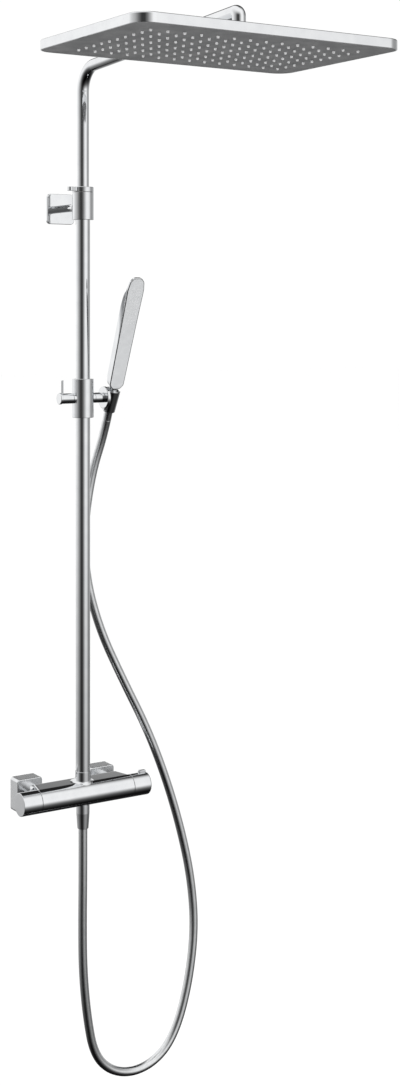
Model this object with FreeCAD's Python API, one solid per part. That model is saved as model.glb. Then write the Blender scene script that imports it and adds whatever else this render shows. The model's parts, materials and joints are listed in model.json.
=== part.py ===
import FreeCAD, Part
import math
import os

os.makedirs("parts", exist_ok=True)

V = FreeCAD.Vector

# Frame: origin on the wall, midway between the two inlets. X runs along the valve,
# -Y out of the wall towards the bather, Z up. All sizes are in millimetres.

# Wall, inlets and riser axis
WALL_GAP = 92.0           # wall to riser axis
INLET_SPACING = 150.0     # standard centre distance of the two inlets
INLET_THREAD_R = 10.475   # half-inch pipe thread, male
INLET_IN_WALL = 15.0
RUN_GAP = 0.05            # radial clearance of every running fit

# Thermostatic valve
BAR_RISE = 10.0           # bar axis above the inlets, taken up by the eccentric unions
BAR_FORWARD = 6.0         # bar axis in front of the riser axis
BAR_R = 20.6
BODY_HALF = 93.6
KNOB_LENGTH = 36.0
KNOB_GAP = 0.5
CHAMBER_R = 16.0
PASSAGE_R = 6.0
UNION_WAY_R = 3.9         # straight water way through both ends of an eccentric union
SPINDLE_R = 5.0
HOUSING_BACK = 30.0       # back of the rear housing behind the riser axis
COVER_WIDTH = 50.0
COVER_HEIGHT = 60.0
COVER_DEPTH = 29.0
COVER_RISE = 2.0          # of the cover's middle above the inlet line

# Riser, wall bracket and arm
LOWER_R = 13.0
LOWER_BORE_R = 12.0
UPPER_R = 11.0
UPPER_BORE_R = 9.5
RISER_SEAT_Z = 34.0
BRACKET_Z = 1046.0        # underside of the bracket sleeve
BRACKET_HEIGHT = 50.0
BRACKET_ROD_Z = 1070.0
SLEEVE_R = 19.5
CLAMP_HEIGHT = 9.6
INSERTION = 150.0         # length of upper tube inside the lower tube
ARM_Z = 1319.5            # arm axis where it meets the riser axis
ARM_REACH = 507.0         # riser axis to ball joint
ARM_SLOPE = 3.13          # degrees, rising towards the head
ARM_BEND_R = 45.0
ARM_END_BEND_R = 16.0

# Rain head
HEAD_WIDTH = 486.0
HEAD_DEPTH = 330.0
HEAD_HEIGHT = 16.0
HEAD_REACH = 450.0        # riser axis to the middle of the head, behind the ball joint
HEAD_CORNER_R = 30.0
HEAD_WALL = 1.6
NOZZLE_COLUMNS = 14
NOZZLE_ROWS = 10
NOZZLE_PITCH_X = 29.4
NOZZLE_PITCH_Y = 24.6
NOZZLE_R = 2.6
NOZZLE_DROP = 2.6         # nozzle tips below the rim
BALL_R = 7.5
LINER_R = 10.0
STEM_R = 4.5

# Slider, holder and handset
SLIDER_Z = 724.0
SLIDER_HEIGHT = 70.0
CROSS_ROD_R = 9.3
CROSS_END = 49.0
HOLDER_X = 59.0
HOLDER_TILT = 22.0        # degrees, handset top leaning away from the wall
HANDSET_START = 20.0      # along the holder axis, from the cross rod
HANDSET_LENGTH = 218.0
HANDSET_TOP_WIDTH = 34.0
HANDSET_LOW_WIDTH = 29.0
HANDSET_DEPTH = 20.0
FACE_THICKNESS = 5.0
HOSE_R = 8.0
HOSE_BORE_R = 5.0

# Lay of the hose in millimetres. Its last two runs lead to the holder.
HOSE_LAY = [
    (0, -92, -54), (0, -92, -140), (0, -90, -225), (2, -88, -312), (11, -86, -396),
    (27, -84, -474), (66, -82, -515), (121, -80, -529), (175, -79, -511),
    (211, -77, -465), (238, -74, -384), (253, -70, -290), (247, -66, -195),
    (226, -62, -98), (196, -58, 0), (157, -54, 98), (106, -50, 196), (59, -46, 294),
    (31, -44, 394), (28, -45, 490),
]
HOSE_END_GAP = 0.3        # between hose end and conical nut
HOSE_END_RUN = 46.0       # last run, in line with the holder
HOSE_APPROACH = (-17, 32, -113)

RISER_Y = -WALL_GAP
BAR_Y = RISER_Y - BAR_FORWARD
BAR_Z = BAR_RISE
INLET_X = INLET_SPACING / 2
X_AXIS = V(1, 0, 0)
Y_AXIS = V(0, 1, 0)
Z_AXIS = V(0, 0, 1)


def rod(radius, start, end):
    """Round bar between two points."""
    return Part.makeCylinder(radius, (end - start).Length, start, end - start)


def tube(outer, inner, start, end):
    """Round tube between two points."""
    return rod(outer, start, end).cut(rod(inner, start, end))


def block(x0, x1, y0, y1, z0, z1):
    """Box between two corners."""
    return Part.makeBox(x1 - x0, y1 - y0, z1 - z0, V(x0, y0, z0))


def turned(profile, origin, axis):
    """Revolve a closed (along, radius) outline about an axis."""
    points = [V(0, -radius, along) for along, radius in profile]
    face = Part.Face(Part.makePolygon(points + points[:1]))
    solid = face.revolve(V(0, 0, 0), Z_AXIS, 360)
    solid.Placement = FreeCAD.Placement(origin, FreeCAD.Rotation(Z_AXIS, axis))
    return solid


def is_along(edge, axis):
    """True for a straight edge parallel to an axis."""
    if edge.Curve.TypeId != "Part::GeomLine":
        return False
    return abs(edge.tangentAt(edge.FirstParameter).dot(axis)) > 0.999


def rounded(shape, radius, chosen):
    """Fillet the edges that a test picks out."""
    return shape.makeFillet(radius, [edge for edge in shape.Edges if chosen(edge)])


def joined(shapes):
    """Fuse a list of solids into one."""
    return shapes[0].fuse(shapes[1:]).removeSplitter()


def on_bar(x):
    """Point on the valve axis."""
    return V(x, BAR_Y, BAR_Z)


def on_riser(z):
    """Point on the riser axis."""
    return V(0, RISER_Y, z)


def bent_tube(corners, bends, outer, inner):
    """Sweep a tube along straight runs joined by tangent arcs."""
    edges = []
    start = corners[0]
    for before, corner, after, bend in zip(corners, corners[1:], corners[2:], bends):
        into = (corner - before).normalize()
        out = (after - corner).normalize()
        half_turn = math.acos(max(-1, min(1, into.dot(out)))) / 2
        setback = bend * math.tan(half_turn)
        arc_start = corner - into * setback
        arc_end = corner + out * setback
        inward = (out - into).normalize()
        centre = corner + inward * (bend / math.cos(half_turn))
        middle = centre - inward * bend
        edges.append(Part.LineSegment(start, arc_start).toShape())
        edges.append(Part.Arc(arc_start, middle, arc_end).toShape())
        start = arc_end
    edges.append(Part.LineSegment(start, corners[-1]).toShape())
    path = Part.Wire(edges)
    direction = corners[1] - corners[0]
    solids = []
    for radius in (outer, inner):
        profile = Part.Wire(Part.makeCircle(radius, corners[0], direction))
        solids.append(path.makePipeShell([profile], True, True))
    return solids[0].cut(solids[1])


# ---- Inlets ------------------------------------------------------------------

def s_union(x):
    """Eccentric union: half-inch thread in the wall, outlet raised by BAR_RISE.

    One straight water way runs through both ends, half the rise above the inlet's axis.
    """
    inlet = V(x, 0, 0)
    outlet = V(x, 0, BAR_RISE)
    solid = joined([
        rod(INLET_THREAD_R, inlet + V(0, INLET_IN_WALL, 0), inlet + V(0, -8, 0)),
        rod(13.0, inlet + V(0, -2, 0), inlet + V(0, -12, 0)),
        rod(13.0, outlet + V(0, -8, 0), outlet + V(0, -18, 0)),
        rod(INLET_THREAD_R, outlet + V(0, -17, 0), outlet + V(0, -41, 0)),
    ])
    way = V(x, 0, BAR_RISE / 2)
    return solid.cut(rod(UNION_WAY_R, way + V(0, INLET_IN_WALL, 0), way + V(0, -41, 0)))


def escutcheon(x):
    """Square cover over the union, open at the wall side."""
    half_x = COVER_WIDTH / 2
    half_z = COVER_HEIGHT / 2
    low, high = COVER_RISE - half_z, COVER_RISE + half_z
    outer = block(x - half_x, x + half_x, -COVER_DEPTH, 0, low, high)
    outer = rounded(outer, 5, lambda edge: is_along(edge, Y_AXIS))
    front = [edge for edge in outer.Edges if edge.BoundBox.YMax < -COVER_DEPTH + 0.01]
    outer = outer.makeFillet(1.5, front)
    inner = block(x - half_x + 2, x + half_x - 2, -COVER_DEPTH + 2, 1, low + 2, high - 2)
    inner = rounded(inner, 3, lambda edge: is_along(edge, Y_AXIS))
    hole = rod(INLET_THREAD_R + 3.9, V(x, 1, BAR_RISE), V(x, -COVER_DEPTH - 1, BAR_RISE))
    return outer.cut(inner).cut(hole)


TAIL_R = 8.0
TAIL_FLANGE_R = 10.2
TAIL_END_Y = -44.0
NUT_R = 14.0


def union_nut(x):
    """Round coupling nut, screwed on the union and held by the valve's tail flange."""
    centre = V(x, 0, BAR_RISE)
    outline = [
        (26, INLET_THREAD_R), (26, NUT_R), (53, NUT_R), (54, NUT_R - 1),
        (54, TAIL_R), (46.2, TAIL_R), (46.2, INLET_THREAD_R),
    ]
    return turned(outline, centre, V(0, -1, 0))


def both_sides(build):
    """Compound of one piece at the left inlet and one at the right."""
    return Part.makeCompound([build(-INLET_X), build(INLET_X)])


def filter_washer(x):
    """Sealing washer between union and valve tail."""
    centre = V(x, 0, BAR_RISE)
    return tube(TAIL_FLANGE_R, PASSAGE_R, centre + V(0, -41, 0), centre + V(0, TAIL_END_Y, 0))


def check_valve(x):
    """Non-return cartridge in the valve's tail bore."""
    centre = V(x, 0, BAR_RISE)
    return tube(PASSAGE_R, 3.5, centre + V(0, -46, 0), centre + V(0, -60, 0))


# ---- Valve body --------------------------------------------------------------

NECK_R = 14.0
FLARE_R = 7.0
NECK_TOP = 50.0
OUTLET_R = 10.475
OUTLET_END_Z = -24.0


def valve_body():
    """Bar, rear housing, riser neck, inlet tails and hose outlet in one casting."""
    top = BAR_Z + BAR_R
    back_y = RISER_Y + HOUSING_BACK
    corners = [
        V(-BODY_HALF, BAR_Y, BAR_Z - 17), V(-INLET_X - 9, back_y, BAR_Z - 17),
        V(INLET_X + 9, back_y, BAR_Z - 17), V(BODY_HALF, BAR_Y, BAR_Z - 17),
    ]
    housing = Part.Face(Part.makePolygon(corners + corners[:1])).extrude(V(0, 0, BAR_R + 17))
    housing = rounded(housing, 3, lambda edge: edge.BoundBox.YMin > back_y - 0.01)
    flare = [
        (top - 12, NECK_R + FLARE_R), (top, NECK_R + FLARE_R), (top + 0.5, NECK_R + 4.6),
        (top + 2, NECK_R + 2.1), (top + 4, NECK_R + 0.7), (top + 7, NECK_R),
        (NECK_TOP, NECK_R), (NECK_TOP, 0), (top - 12, 0),
    ]
    flare = turned(flare, on_riser(0), Z_AXIS)
    flare.rotate(on_riser(0), Z_AXIS, 90)
    bar = rod(BAR_R, on_bar(-BODY_HALF), on_bar(BODY_HALF))
    behind = block(-40, 40, BAR_Y, RISER_Y + 40, top - 12, top + 60)
    front = flare.cut(behind).common(rod(BAR_R + 7, on_bar(-40), on_bar(40)))
    neck = rod(NECK_R, on_riser(BAR_Z), on_riser(NECK_TOP))
    pieces = [bar, housing, flare.common(behind), front, neck]
    for x in (-INLET_X, INLET_X):
        centre = V(x, 0, BAR_Z)
        pieces.append(rod(TAIL_R, centre + V(0, BAR_Y, 0), centre + V(0, TAIL_END_Y, 0)))
        pieces.append(rod(TAIL_FLANGE_R, centre + V(0, -46, 0), centre + V(0, TAIL_END_Y, 0)))
    pieces.append(rod(OUTLET_R, on_riser(BAR_Z), on_riser(OUTLET_END_Z)))
    solid = joined(pieces)
    for x in (-INLET_X, INLET_X):
        centre = V(x, 0, BAR_Z)
        solid = solid.cut(rod(PASSAGE_R, centre + V(0, BAR_Y, 0), centre + V(0, TAIL_END_Y, 0)))
    solid = solid.cut(rod(CHAMBER_R, on_bar(-BODY_HALF), on_bar(-30)))
    solid = solid.cut(rod(CHAMBER_R, on_bar(30), on_bar(BODY_HALF)))
    solid = solid.cut(rod(8, on_bar(-30), on_bar(30)))
    solid = solid.cut(rod(7, on_riser(BAR_Z), on_riser(RISER_SEAT_Z)))
    solid = solid.cut(rod(LOWER_R, on_riser(RISER_SEAT_Z), on_riser(NECK_TOP)))
    for z in RISER_SEAL_Z:
        solid = solid.cut(rod(LOWER_R + 0.7, on_riser(z), on_riser(z + 2)))
    solid = solid.cut(rod(HOSE_BORE_R, on_riser(BAR_Z), on_riser(OUTLET_END_Z)))
    return solid.cut(rod(2, on_riser(46) + V(0, 12, 0), on_riser(46) + V(0, 16, 0)))


RISER_SEAL_Z = (36.0, 40.0)
CARTRIDGE_START = 32.0
NOSE_END = 103.0


def cartridge(side):
    """Control cartridge: bored nose for the spindle, waisted at its inlet."""
    outline = [
        (CARTRIDGE_START, 0), (CARTRIDGE_START, CHAMBER_R), (64, CHAMBER_R), (64, 12),
        (86, 12), (86, CHAMBER_R), (BODY_HALF - 1, CHAMBER_R), (BODY_HALF - 1, 9),
        (NOSE_END, 9), (NOSE_END, SPINDLE_R + RUN_GAP), (70, SPINDLE_R + RUN_GAP), (70, 0),
    ]
    return turned(outline, on_bar(0), V(side, 0, 0))


def spindle(side):
    """Control spindle between cartridge and knob."""
    return rod(SPINDLE_R, on_bar(side * 70.5), on_bar(side * 119))


KNOB_START = BODY_HALF + KNOB_GAP
KNOB_END = KNOB_START + KNOB_LENGTH
KNOB_BORE_R = 17.0


def knob(side, edge_round):
    """Closed round knob with a hub on the spindle and a screw hole underneath."""
    outline = [
        (KNOB_START, KNOB_BORE_R), (KNOB_START, BAR_R), (KNOB_END, BAR_R), (KNOB_END, 0),
        (119, 0), (119, SPINDLE_R), (105, SPINDLE_R), (105, 9), (KNOB_END - 3, 9),
        (KNOB_END - 3, KNOB_BORE_R),
    ]
    solid = turned(outline, on_bar(0), V(side, 0, 0))

    def at_end(edge):
        box = edge.BoundBox
        return box.XLength < 0.01 and abs(box.XMin * side - KNOB_END) < 0.01

    solid = rounded(solid, edge_round, at_end)
    screw_line = on_bar(side * 112)
    return solid.cut(rod(2, screw_line + V(0, 0, -SPINDLE_R), screw_line + V(0, 0, -BAR_R - 1)))


def knob_screw(side):
    """Grub screw that holds the knob on its spindle."""
    line = on_bar(side * 112)
    return rod(2, line + V(0, 0, -SPINDLE_R), line + V(0, 0, -12))


BUTTON_X = 119.7
BUTTON_LENGTH = 13.6
BUTTON_WIDTH = 7.6
BUTTON_TRAVEL = 1.2


def button_slot():
    """Slot in the knob wall for the safety button."""
    half = BUTTON_LENGTH / 2 + 0.3
    wide = BUTTON_WIDTH / 2 + 0.3
    return block(BUTTON_X - half, BUTTON_X + half, BAR_Y - wide, BAR_Y + wide,
                 BAR_Z + 9.6, BAR_Z + BAR_R + 1)


def safety_button():
    """Sprung stop button standing out of the knob."""
    half = BUTTON_LENGTH / 2
    wide = BUTTON_WIDTH / 2
    cap = block(BUTTON_X - half, BUTTON_X + half, BAR_Y - wide, BAR_Y + wide,
                BAR_Z + 14, BAR_Z + BAR_R + 4.4)
    top = [edge for edge in cap.Edges if edge.BoundBox.ZMin > BAR_Z + BAR_R + 4]
    cap = cap.makeFillet(1.2, top)
    foot = block(BUTTON_X - half - 1.2, BUTTON_X + half, BAR_Y - wide - 1.2,
                 BAR_Y + wide + 1.2, BAR_Z + 13.8, BAR_Z + 15.2)
    return cap.fuse(foot).removeSplitter()


def button_spring():
    """Coil spring between knob hub and button."""
    height = 3.9
    helix = Part.makeHelix(1.3, height, 2.2)
    ring = Part.Wire(Part.makeCircle(0.3, V(2.2, 0, 0), Y_AXIS))
    coil = Part.Wire(helix).makePipeShell([ring], True, True)
    coil.translate(V(BUTTON_X - 4.5, BAR_Y, BAR_Z + 9.35))
    return coil


def stop_ring():
    """Plastic ring on the cartridge nose that limits the temperature knob."""
    return tube(13, 9, on_bar(BODY_HALF + 1), on_bar(BODY_HALF + 5))


# ---- Riser and bracket -------------------------------------------------------

LOWER_TOP = BRACKET_Z + BRACKET_HEIGHT - 8
BRACKET_TOP = BRACKET_Z + BRACKET_HEIGHT
UPPER_BOTTOM = LOWER_TOP - INSERTION


def riser_lower_tube():
    """Fixed lower riser tube."""
    return tube(LOWER_R, LOWER_BORE_R, on_riser(RISER_SEAT_Z), on_riser(LOWER_TOP))


def riser_seals():
    """Two rings that seal the riser in the valve neck."""
    rings = [tube(LOWER_R + 0.7, LOWER_R, on_riser(z), on_riser(z + 2)) for z in RISER_SEAL_Z]
    return Part.makeCompound(rings)


def riser_top_bush():
    """Guide bush in the top of the lower tube."""
    outline = [
        (LOWER_TOP - 18, UPPER_R + RUN_GAP), (LOWER_TOP - 18, LOWER_BORE_R),
        (LOWER_TOP, LOWER_BORE_R), (LOWER_TOP, LOWER_R),
        (LOWER_TOP + 1.5, LOWER_R), (LOWER_TOP + 1.5, UPPER_R + RUN_GAP),
    ]
    return turned(outline, on_riser(0), Z_AXIS)


def bracket_sleeve():
    """Sleeve round the top of the lower tube, with a socket for the wall rod."""
    z0 = BRACKET_Z
    outline = [
        (z0, LOWER_R), (z0, SLEEVE_R - 0.8), (z0 + 0.8, SLEEVE_R),
        (BRACKET_TOP, SLEEVE_R), (BRACKET_TOP, 17), (LOWER_TOP + 1.5, 17),
        (LOWER_TOP + 1.5, LOWER_R),
    ]
    solid = turned(outline, on_riser(0), Z_AXIS)
    socket = V(0, RISER_Y, BRACKET_ROD_Z)
    boss = rod(8.5, socket + V(0, LOWER_R + 1, 0), socket + V(0, SLEEVE_R + 2, 0))
    hole = rod(7, socket + V(0, LOWER_R + 3, 0), socket + V(0, SLEEVE_R + 3, 0))
    return solid.fuse(boss).removeSplitter().cut(hole)


def clamp_collet():
    """Split collet that grips the upper tube."""
    z0 = LOWER_TOP + 1.5
    outline = [
        (z0, UPPER_R + RUN_GAP), (z0, 17), (BRACKET_TOP, 17), (BRACKET_TOP, 15),
        (BRACKET_TOP + 8, 14), (BRACKET_TOP + 8, UPPER_R + RUN_GAP),
    ]
    solid = turned(outline, on_riser(0), Z_AXIS)
    slot = block(-0.8, 0.8, RISER_Y + 10, RISER_Y + 18, BRACKET_TOP, BRACKET_TOP + 9)
    return solid.cut(slot)


def clamp_ring():
    """Ring with a flat lever tab that tightens the collet."""
    z0 = BRACKET_TOP + 0.4
    z1 = BRACKET_TOP + CLAMP_HEIGHT
    gap = RUN_GAP
    outline = [
        (z0, 15 + gap), (z0, SLEEVE_R), (z1 - 0.8, SLEEVE_R), (z1, SLEEVE_R - 0.8),
        (z1, UPPER_R + 0.5), (z1 - 1.2, UPPER_R + 0.5), (z1 - 1.2, 14 + gap + 0.05),
        (BRACKET_TOP + 8, 14 + gap),
    ]
    ring = turned(outline, on_riser(0), Z_AXIS)
    tab = block(-SLEEVE_R - 15, -16, -5.5, 5.5, z0 + 1.2, z1 - 0.6)
    tab = rounded(tab, 4, lambda edge: is_along(edge, Z_AXIS) and edge.BoundBox.XMax < -SLEEVE_R)
    tab.rotate(V(0, 0, 0), Z_AXIS, 12)
    tab.translate(V(0, RISER_Y, 0))
    return ring.fuse(tab).removeSplitter()


ROD_R = 7.0
STUD_R = 4.0


def bracket_rod():
    """Distance rod from wall plate to sleeve, with a collar at the sleeve."""
    z = BRACKET_ROD_Z
    solid = rod(ROD_R, V(0, -6, z), V(0, RISER_Y + LOWER_R + 3, z))
    return solid.cut(rod(STUD_R, V(0, -6, z), V(0, -26, z)))


def bracket_rod_collar():
    """Lock ring on the distance rod."""
    z = BRACKET_ROD_Z
    return tube(9.2, ROD_R, V(0, -60, z), V(0, -66, z))


PLATE = 56.0
PLATE_DEPTH = 7.0
BRACKET_SCREW_SPACING = 34.0
BRACKET_SCREW_R = 2.5
BRACKET_SCREW_LENGTH = 13.0   # in the wall, up to a threaded anchor


def bracket_plate():
    """Square cover plate at the wall."""
    z = BRACKET_ROD_Z
    half = PLATE / 2
    outer = block(-half, half, -PLATE_DEPTH, 0, z - half, z + half)
    outer = rounded(outer, 8, lambda edge: is_along(edge, Y_AXIS))
    front = [edge for edge in outer.Edges if edge.BoundBox.YMax < -PLATE_DEPTH + 0.01]
    outer = outer.makeFillet(1, front)
    inner = block(-half + 1.5, half - 1.5, -PLATE_DEPTH + 1.5, 1, z - half + 1.5, z + half - 1.5)
    inner = rounded(inner, 6.5, lambda edge: is_along(edge, Y_AXIS))
    return outer.cut(inner).cut(rod(ROD_R, V(0, 0, z), V(0, -8, z)))


def bracket_fixing():
    """Wall fixing under the cover plate, with the stud for the rod."""
    z = BRACKET_ROD_Z
    plate = block(-25, 25, -3, 0, z - 12, z + 12)
    plate = rounded(plate, 6, lambda edge: is_along(edge, Y_AXIS))
    plate = plate.fuse(rod(STUD_R, V(0, -2, z), V(0, -24, z))).removeSplitter()
    for x in (-BRACKET_SCREW_SPACING / 2, BRACKET_SCREW_SPACING / 2):
        plate = plate.cut(rod(BRACKET_SCREW_R, V(x, 1, z), V(x, -4, z)))
    return plate


def bracket_screws():
    """Two wall screws."""
    screws = []
    for x in (-BRACKET_SCREW_SPACING / 2, BRACKET_SCREW_SPACING / 2):
        centre = V(x, 0, BRACKET_ROD_Z)
        shank = rod(BRACKET_SCREW_R, centre + V(0, BRACKET_SCREW_LENGTH, 0), centre)
        neck = rod(BRACKET_SCREW_R - 0.4, centre, centre + V(0, -3, 0))
        head = rod(4.6, centre + V(0, -3, 0), centre + V(0, -5.2, 0))
        screws.append(joined([shank, neck, head]))
    return Part.makeCompound(screws)


# ---- Arm ---------------------------------------------------------------------

ARM_END_Z = ARM_Z + ARM_REACH * math.tan(math.radians(ARM_SLOPE))
JOINT_Y = RISER_Y - ARM_REACH
HEAD_Y = RISER_Y - HEAD_REACH
TUBE_END_Z = ARM_END_Z - 20.4
BALL_Z = TUBE_END_Z - 12.5
HEAD_TOP = BALL_Z - 4.9
HEAD_RIM = HEAD_TOP - HEAD_HEIGHT


def upper_tube_arm():
    """Upper riser tube, overhead arm and its downturned end, bent from one tube."""
    corners = [
        on_riser(UPPER_BOTTOM), on_riser(ARM_Z), V(0, JOINT_Y, ARM_END_Z),
        V(0, JOINT_Y, TUBE_END_Z),
    ]
    return bent_tube(corners, [ARM_BEND_R, ARM_END_BEND_R], UPPER_R, UPPER_BORE_R)


PLUG_R = 8.0
PLUG_LENGTH = 16.0


def riser_end_plug():
    """Bored plug in the foot of the upper tube, carrying the guide sleeve."""
    outline = [
        (14, 5), (14, UPPER_BORE_R), (0, UPPER_BORE_R), (0, UPPER_R), (-2, UPPER_R),
        (-2, PLUG_R), (-2 - PLUG_LENGTH, PLUG_R), (-2 - PLUG_LENGTH, 10.5),
        (-4 - PLUG_LENGTH, 10.5), (-4 - PLUG_LENGTH, 5),
    ]
    return turned(outline, on_riser(UPPER_BOTTOM), Z_AXIS)


def riser_guide_sleeve():
    """Guide sleeve that slides in the lower tube while the plug turns in it."""
    outline = [
        (-2.2, PLUG_R + RUN_GAP), (-2.2, LOWER_BORE_R - RUN_GAP),
        (-8, LOWER_BORE_R - RUN_GAP), (-8, 10), (-12, 10),
        (-12, LOWER_BORE_R - RUN_GAP), (-1.8 - PLUG_LENGTH, LOWER_BORE_R - RUN_GAP),
        (-1.8 - PLUG_LENGTH, PLUG_R + RUN_GAP),
    ]
    return turned(outline, on_riser(UPPER_BOTTOM), Z_AXIS)


def riser_piston_seal():
    """Sealing ring in the guide sleeve's groove."""
    z = UPPER_BOTTOM
    return tube(LOWER_BORE_R - RUN_GAP, 10, on_riser(z - 12), on_riser(z - 8))


def ball_stem():
    """Ball, stem and collar brazed in the arm end, bored for the water."""
    centre = V(0, JOINT_Y, BALL_Z)
    end = V(0, JOINT_Y, TUBE_END_Z)
    solid = joined([
        Part.makeSphere(BALL_R, centre),
        rod(STEM_R, centre, end),
        rod(12.5, end + V(0, 0, -3), end),
        rod(UPPER_BORE_R, end, end + V(0, 0, 3)),
    ])
    return solid.cut(rod(3, centre + V(0, 0, -BALL_R - 1), end + V(0, 0, 4)))


def ball_liner():
    """Plastic liner between ball and socket, round inside and outside."""
    centre = V(0, JOINT_Y, BALL_Z)
    shell = Part.makeSphere(LINER_R, centre).cut(Part.makeSphere(BALL_R + RUN_GAP, centre))
    return shell.common(rod(12, centre + V(0, 0, -4.5), centre + V(0, 0, 4.5)))


# ---- Rain head ---------------------------------------------------------------

def head_plate(inset, z0, z1):
    """Rectangle with rounded corners, inset from the head's outline."""
    half_x = HEAD_WIDTH / 2 - inset
    half_y = HEAD_DEPTH / 2 - inset
    plate = block(-half_x, half_x, HEAD_Y - half_y, HEAD_Y + half_y, z0, z1)
    radius = max(HEAD_CORNER_R - inset, 6)
    return rounded(plate, radius, lambda edge: is_along(edge, Z_AXIS))


def nozzle_centres():
    """Centres of the nozzle grid."""
    xs = [(i - (NOZZLE_COLUMNS - 1) / 2) * NOZZLE_PITCH_X for i in range(NOZZLE_COLUMNS)]
    ys = [(j - (NOZZLE_ROWS - 1) / 2) * NOZZLE_PITCH_Y for j in range(NOZZLE_ROWS)]
    return [V(x, HEAD_Y + y, 0) for x in xs for y in ys]


FACE_BOTTOM = HEAD_RIM + 0.4
FACE_TOP = FACE_BOTTOM + 2.0
MAT_TOP = FACE_TOP + 2.0
FRAME_TOP = MAT_TOP + 3.0
SOCKET_R = LINER_R + RUN_GAP


def head_shell():
    """Pressed top shell with rim and ball socket."""
    outer = head_plate(0, HEAD_RIM, HEAD_TOP)
    top = [edge for edge in outer.Edges if edge.BoundBox.ZMin > HEAD_TOP - 0.01]
    outer = outer.makeFillet(2.5, top)
    solid = outer.cut(head_plate(HEAD_WALL, HEAD_RIM - 1, HEAD_TOP - HEAD_WALL))
    centre = V(0, JOINT_Y, BALL_Z)
    solid = joined([
        solid,
        rod(14, centre + V(0, 0, -12), centre),
        rod(26, centre + V(0, 0, -8), centre + V(0, 0, -3.4)),
    ])
    solid = solid.cut(Part.makeSphere(SOCKET_R, centre))
    solid = solid.cut(rod(5.5, centre + V(0, 0, -13), centre))
    for spot in head_screw_spots():
        z = FRAME_TOP
        pillar = rod(4, spot + V(0, 0, z), spot + V(0, 0, HEAD_TOP - HEAD_WALL))
        solid = solid.fuse(pillar).cut(rod(1.5, spot + V(0, 0, z), spot + V(0, 0, z + 5)))
    return solid.removeSplitter()


def head_screw_spots():
    """Places of the screws under the clamp frame."""
    half_x = HEAD_WIDTH / 2 - 14
    half_y = HEAD_DEPTH / 2 - 14
    pairs = [(-half_x, -0.6), (-half_x, 0.6), (half_x, -0.6), (half_x, 0.6)]
    spots = [V(x, HEAD_Y + part * half_y, 0) for x, part in pairs]
    for part in (-0.6, 0.0, 0.6):
        spots.append(V(part * half_x, HEAD_Y - half_y, 0))
        spots.append(V(part * half_x, HEAD_Y + half_y, 0))
    return spots


def head_socket_collar():
    """Collar nut that closes the socket over the liner."""
    outline = [
        (-3, 14), (-3, 17), (1, 17), (5, 11.5), (5, 6), (0.2, 6), (0.2, 14),
    ]
    solid = turned(outline, V(0, JOINT_Y, BALL_Z), Z_AXIS)
    return solid.cut(Part.makeSphere(SOCKET_R, V(0, JOINT_Y, BALL_Z)))


def head_face_plate():
    """Grey face plate, drilled for the nozzles."""
    plate = head_plate(HEAD_WALL, FACE_BOTTOM, FACE_TOP)
    holes = [
        Part.makeCylinder(NOZZLE_R + 0.1, 4, centre + V(0, 0, FACE_BOTTOM - 1))
        for centre in nozzle_centres()
    ]
    return plate.cut(Part.makeCompound(holes))


def head_nozzle_mat():
    """Silicone mat with all the nozzles, bored through."""
    sheet = head_plate(22, FACE_TOP, MAT_TOP)
    tip = HEAD_RIM - NOZZLE_DROP
    cones = [
        Part.makeCone(1.9, NOZZLE_R, FACE_TOP + 1 - tip, centre + V(0, 0, tip))
        for centre in nozzle_centres()
    ]
    bores = [
        Part.makeCylinder(0.6, MAT_TOP - tip + 2, centre + V(0, 0, tip - 1))
        for centre in nozzle_centres()
    ]
    return sheet.fuse(cones).cut(Part.makeCompound(bores))


def head_clamp_frame():
    """Plastic frame that holds mat and face plate in the shell."""
    upper = head_plate(6, MAT_TOP, FRAME_TOP).cut(head_plate(32, MAT_TOP - 1, FRAME_TOP + 1))
    foot = head_plate(6, FACE_TOP, MAT_TOP).cut(head_plate(22, FACE_TOP - 1, MAT_TOP + 1))
    frame = upper.fuse(foot).removeSplitter()
    holes = [
        rod(1.5, spot + V(0, 0, FACE_TOP - 1), spot + V(0, 0, FRAME_TOP + 1))
        for spot in head_screw_spots()
    ]
    seats = [
        rod(3, spot + V(0, 0, FACE_TOP - 1), spot + V(0, 0, FACE_TOP + 1.6))
        for spot in head_screw_spots()
    ]
    return frame.cut(Part.makeCompound(holes)).cut(Part.makeCompound(seats))


def head_screws():
    """Screws that pull the clamp frame to the shell."""
    screws = []
    for spot in head_screw_spots():
        shank = rod(1.5, spot + V(0, 0, FACE_TOP + 1.6), spot + V(0, 0, FRAME_TOP + 4.5))
        head = rod(3, spot + V(0, 0, FACE_TOP + 0.2), spot + V(0, 0, FACE_TOP + 1.6))
        screws.append(shank.fuse(head).removeSplitter())
    return Part.makeCompound(screws)


# ---- Slider and holder -------------------------------------------------------

BUSH_R = 15.0
HALF = SLIDER_HEIGHT / 2
AXLE_R = 4.0
KNUCKLE_R = 20.0
KNUCKLE_START = 41.0
KNUCKLE_END = 47.0


def cross(x):
    """Point on the slider's cross axis."""
    return V(x, RISER_Y, SLIDER_Z)


def slider_sleeve():
    """Slider sleeve with a boss each side for lock screw and pivot rod."""
    outline = [
        (-HALF, BUSH_R), (-HALF, SLEEVE_R - 0.6), (-HALF + 0.6, SLEEVE_R),
        (HALF - 0.6, SLEEVE_R), (HALF, SLEEVE_R - 0.6), (HALF, BUSH_R),
    ]
    solid = turned(outline, cross(0), Z_AXIS)
    bosses = rod(CROSS_ROD_R, cross(-22), cross(22)).cut(rod(BUSH_R, cross(0) + V(0, 0, -30),
                                                              cross(0) + V(0, 0, 30)))
    solid = solid.fuse(bosses).removeSplitter()
    solid = solid.cut(rod(AXLE_R + RUN_GAP, cross(-23), cross(-BUSH_R + 2)))
    return solid.cut(rod(AXLE_R, cross(BUSH_R - 2), cross(23)))


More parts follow.
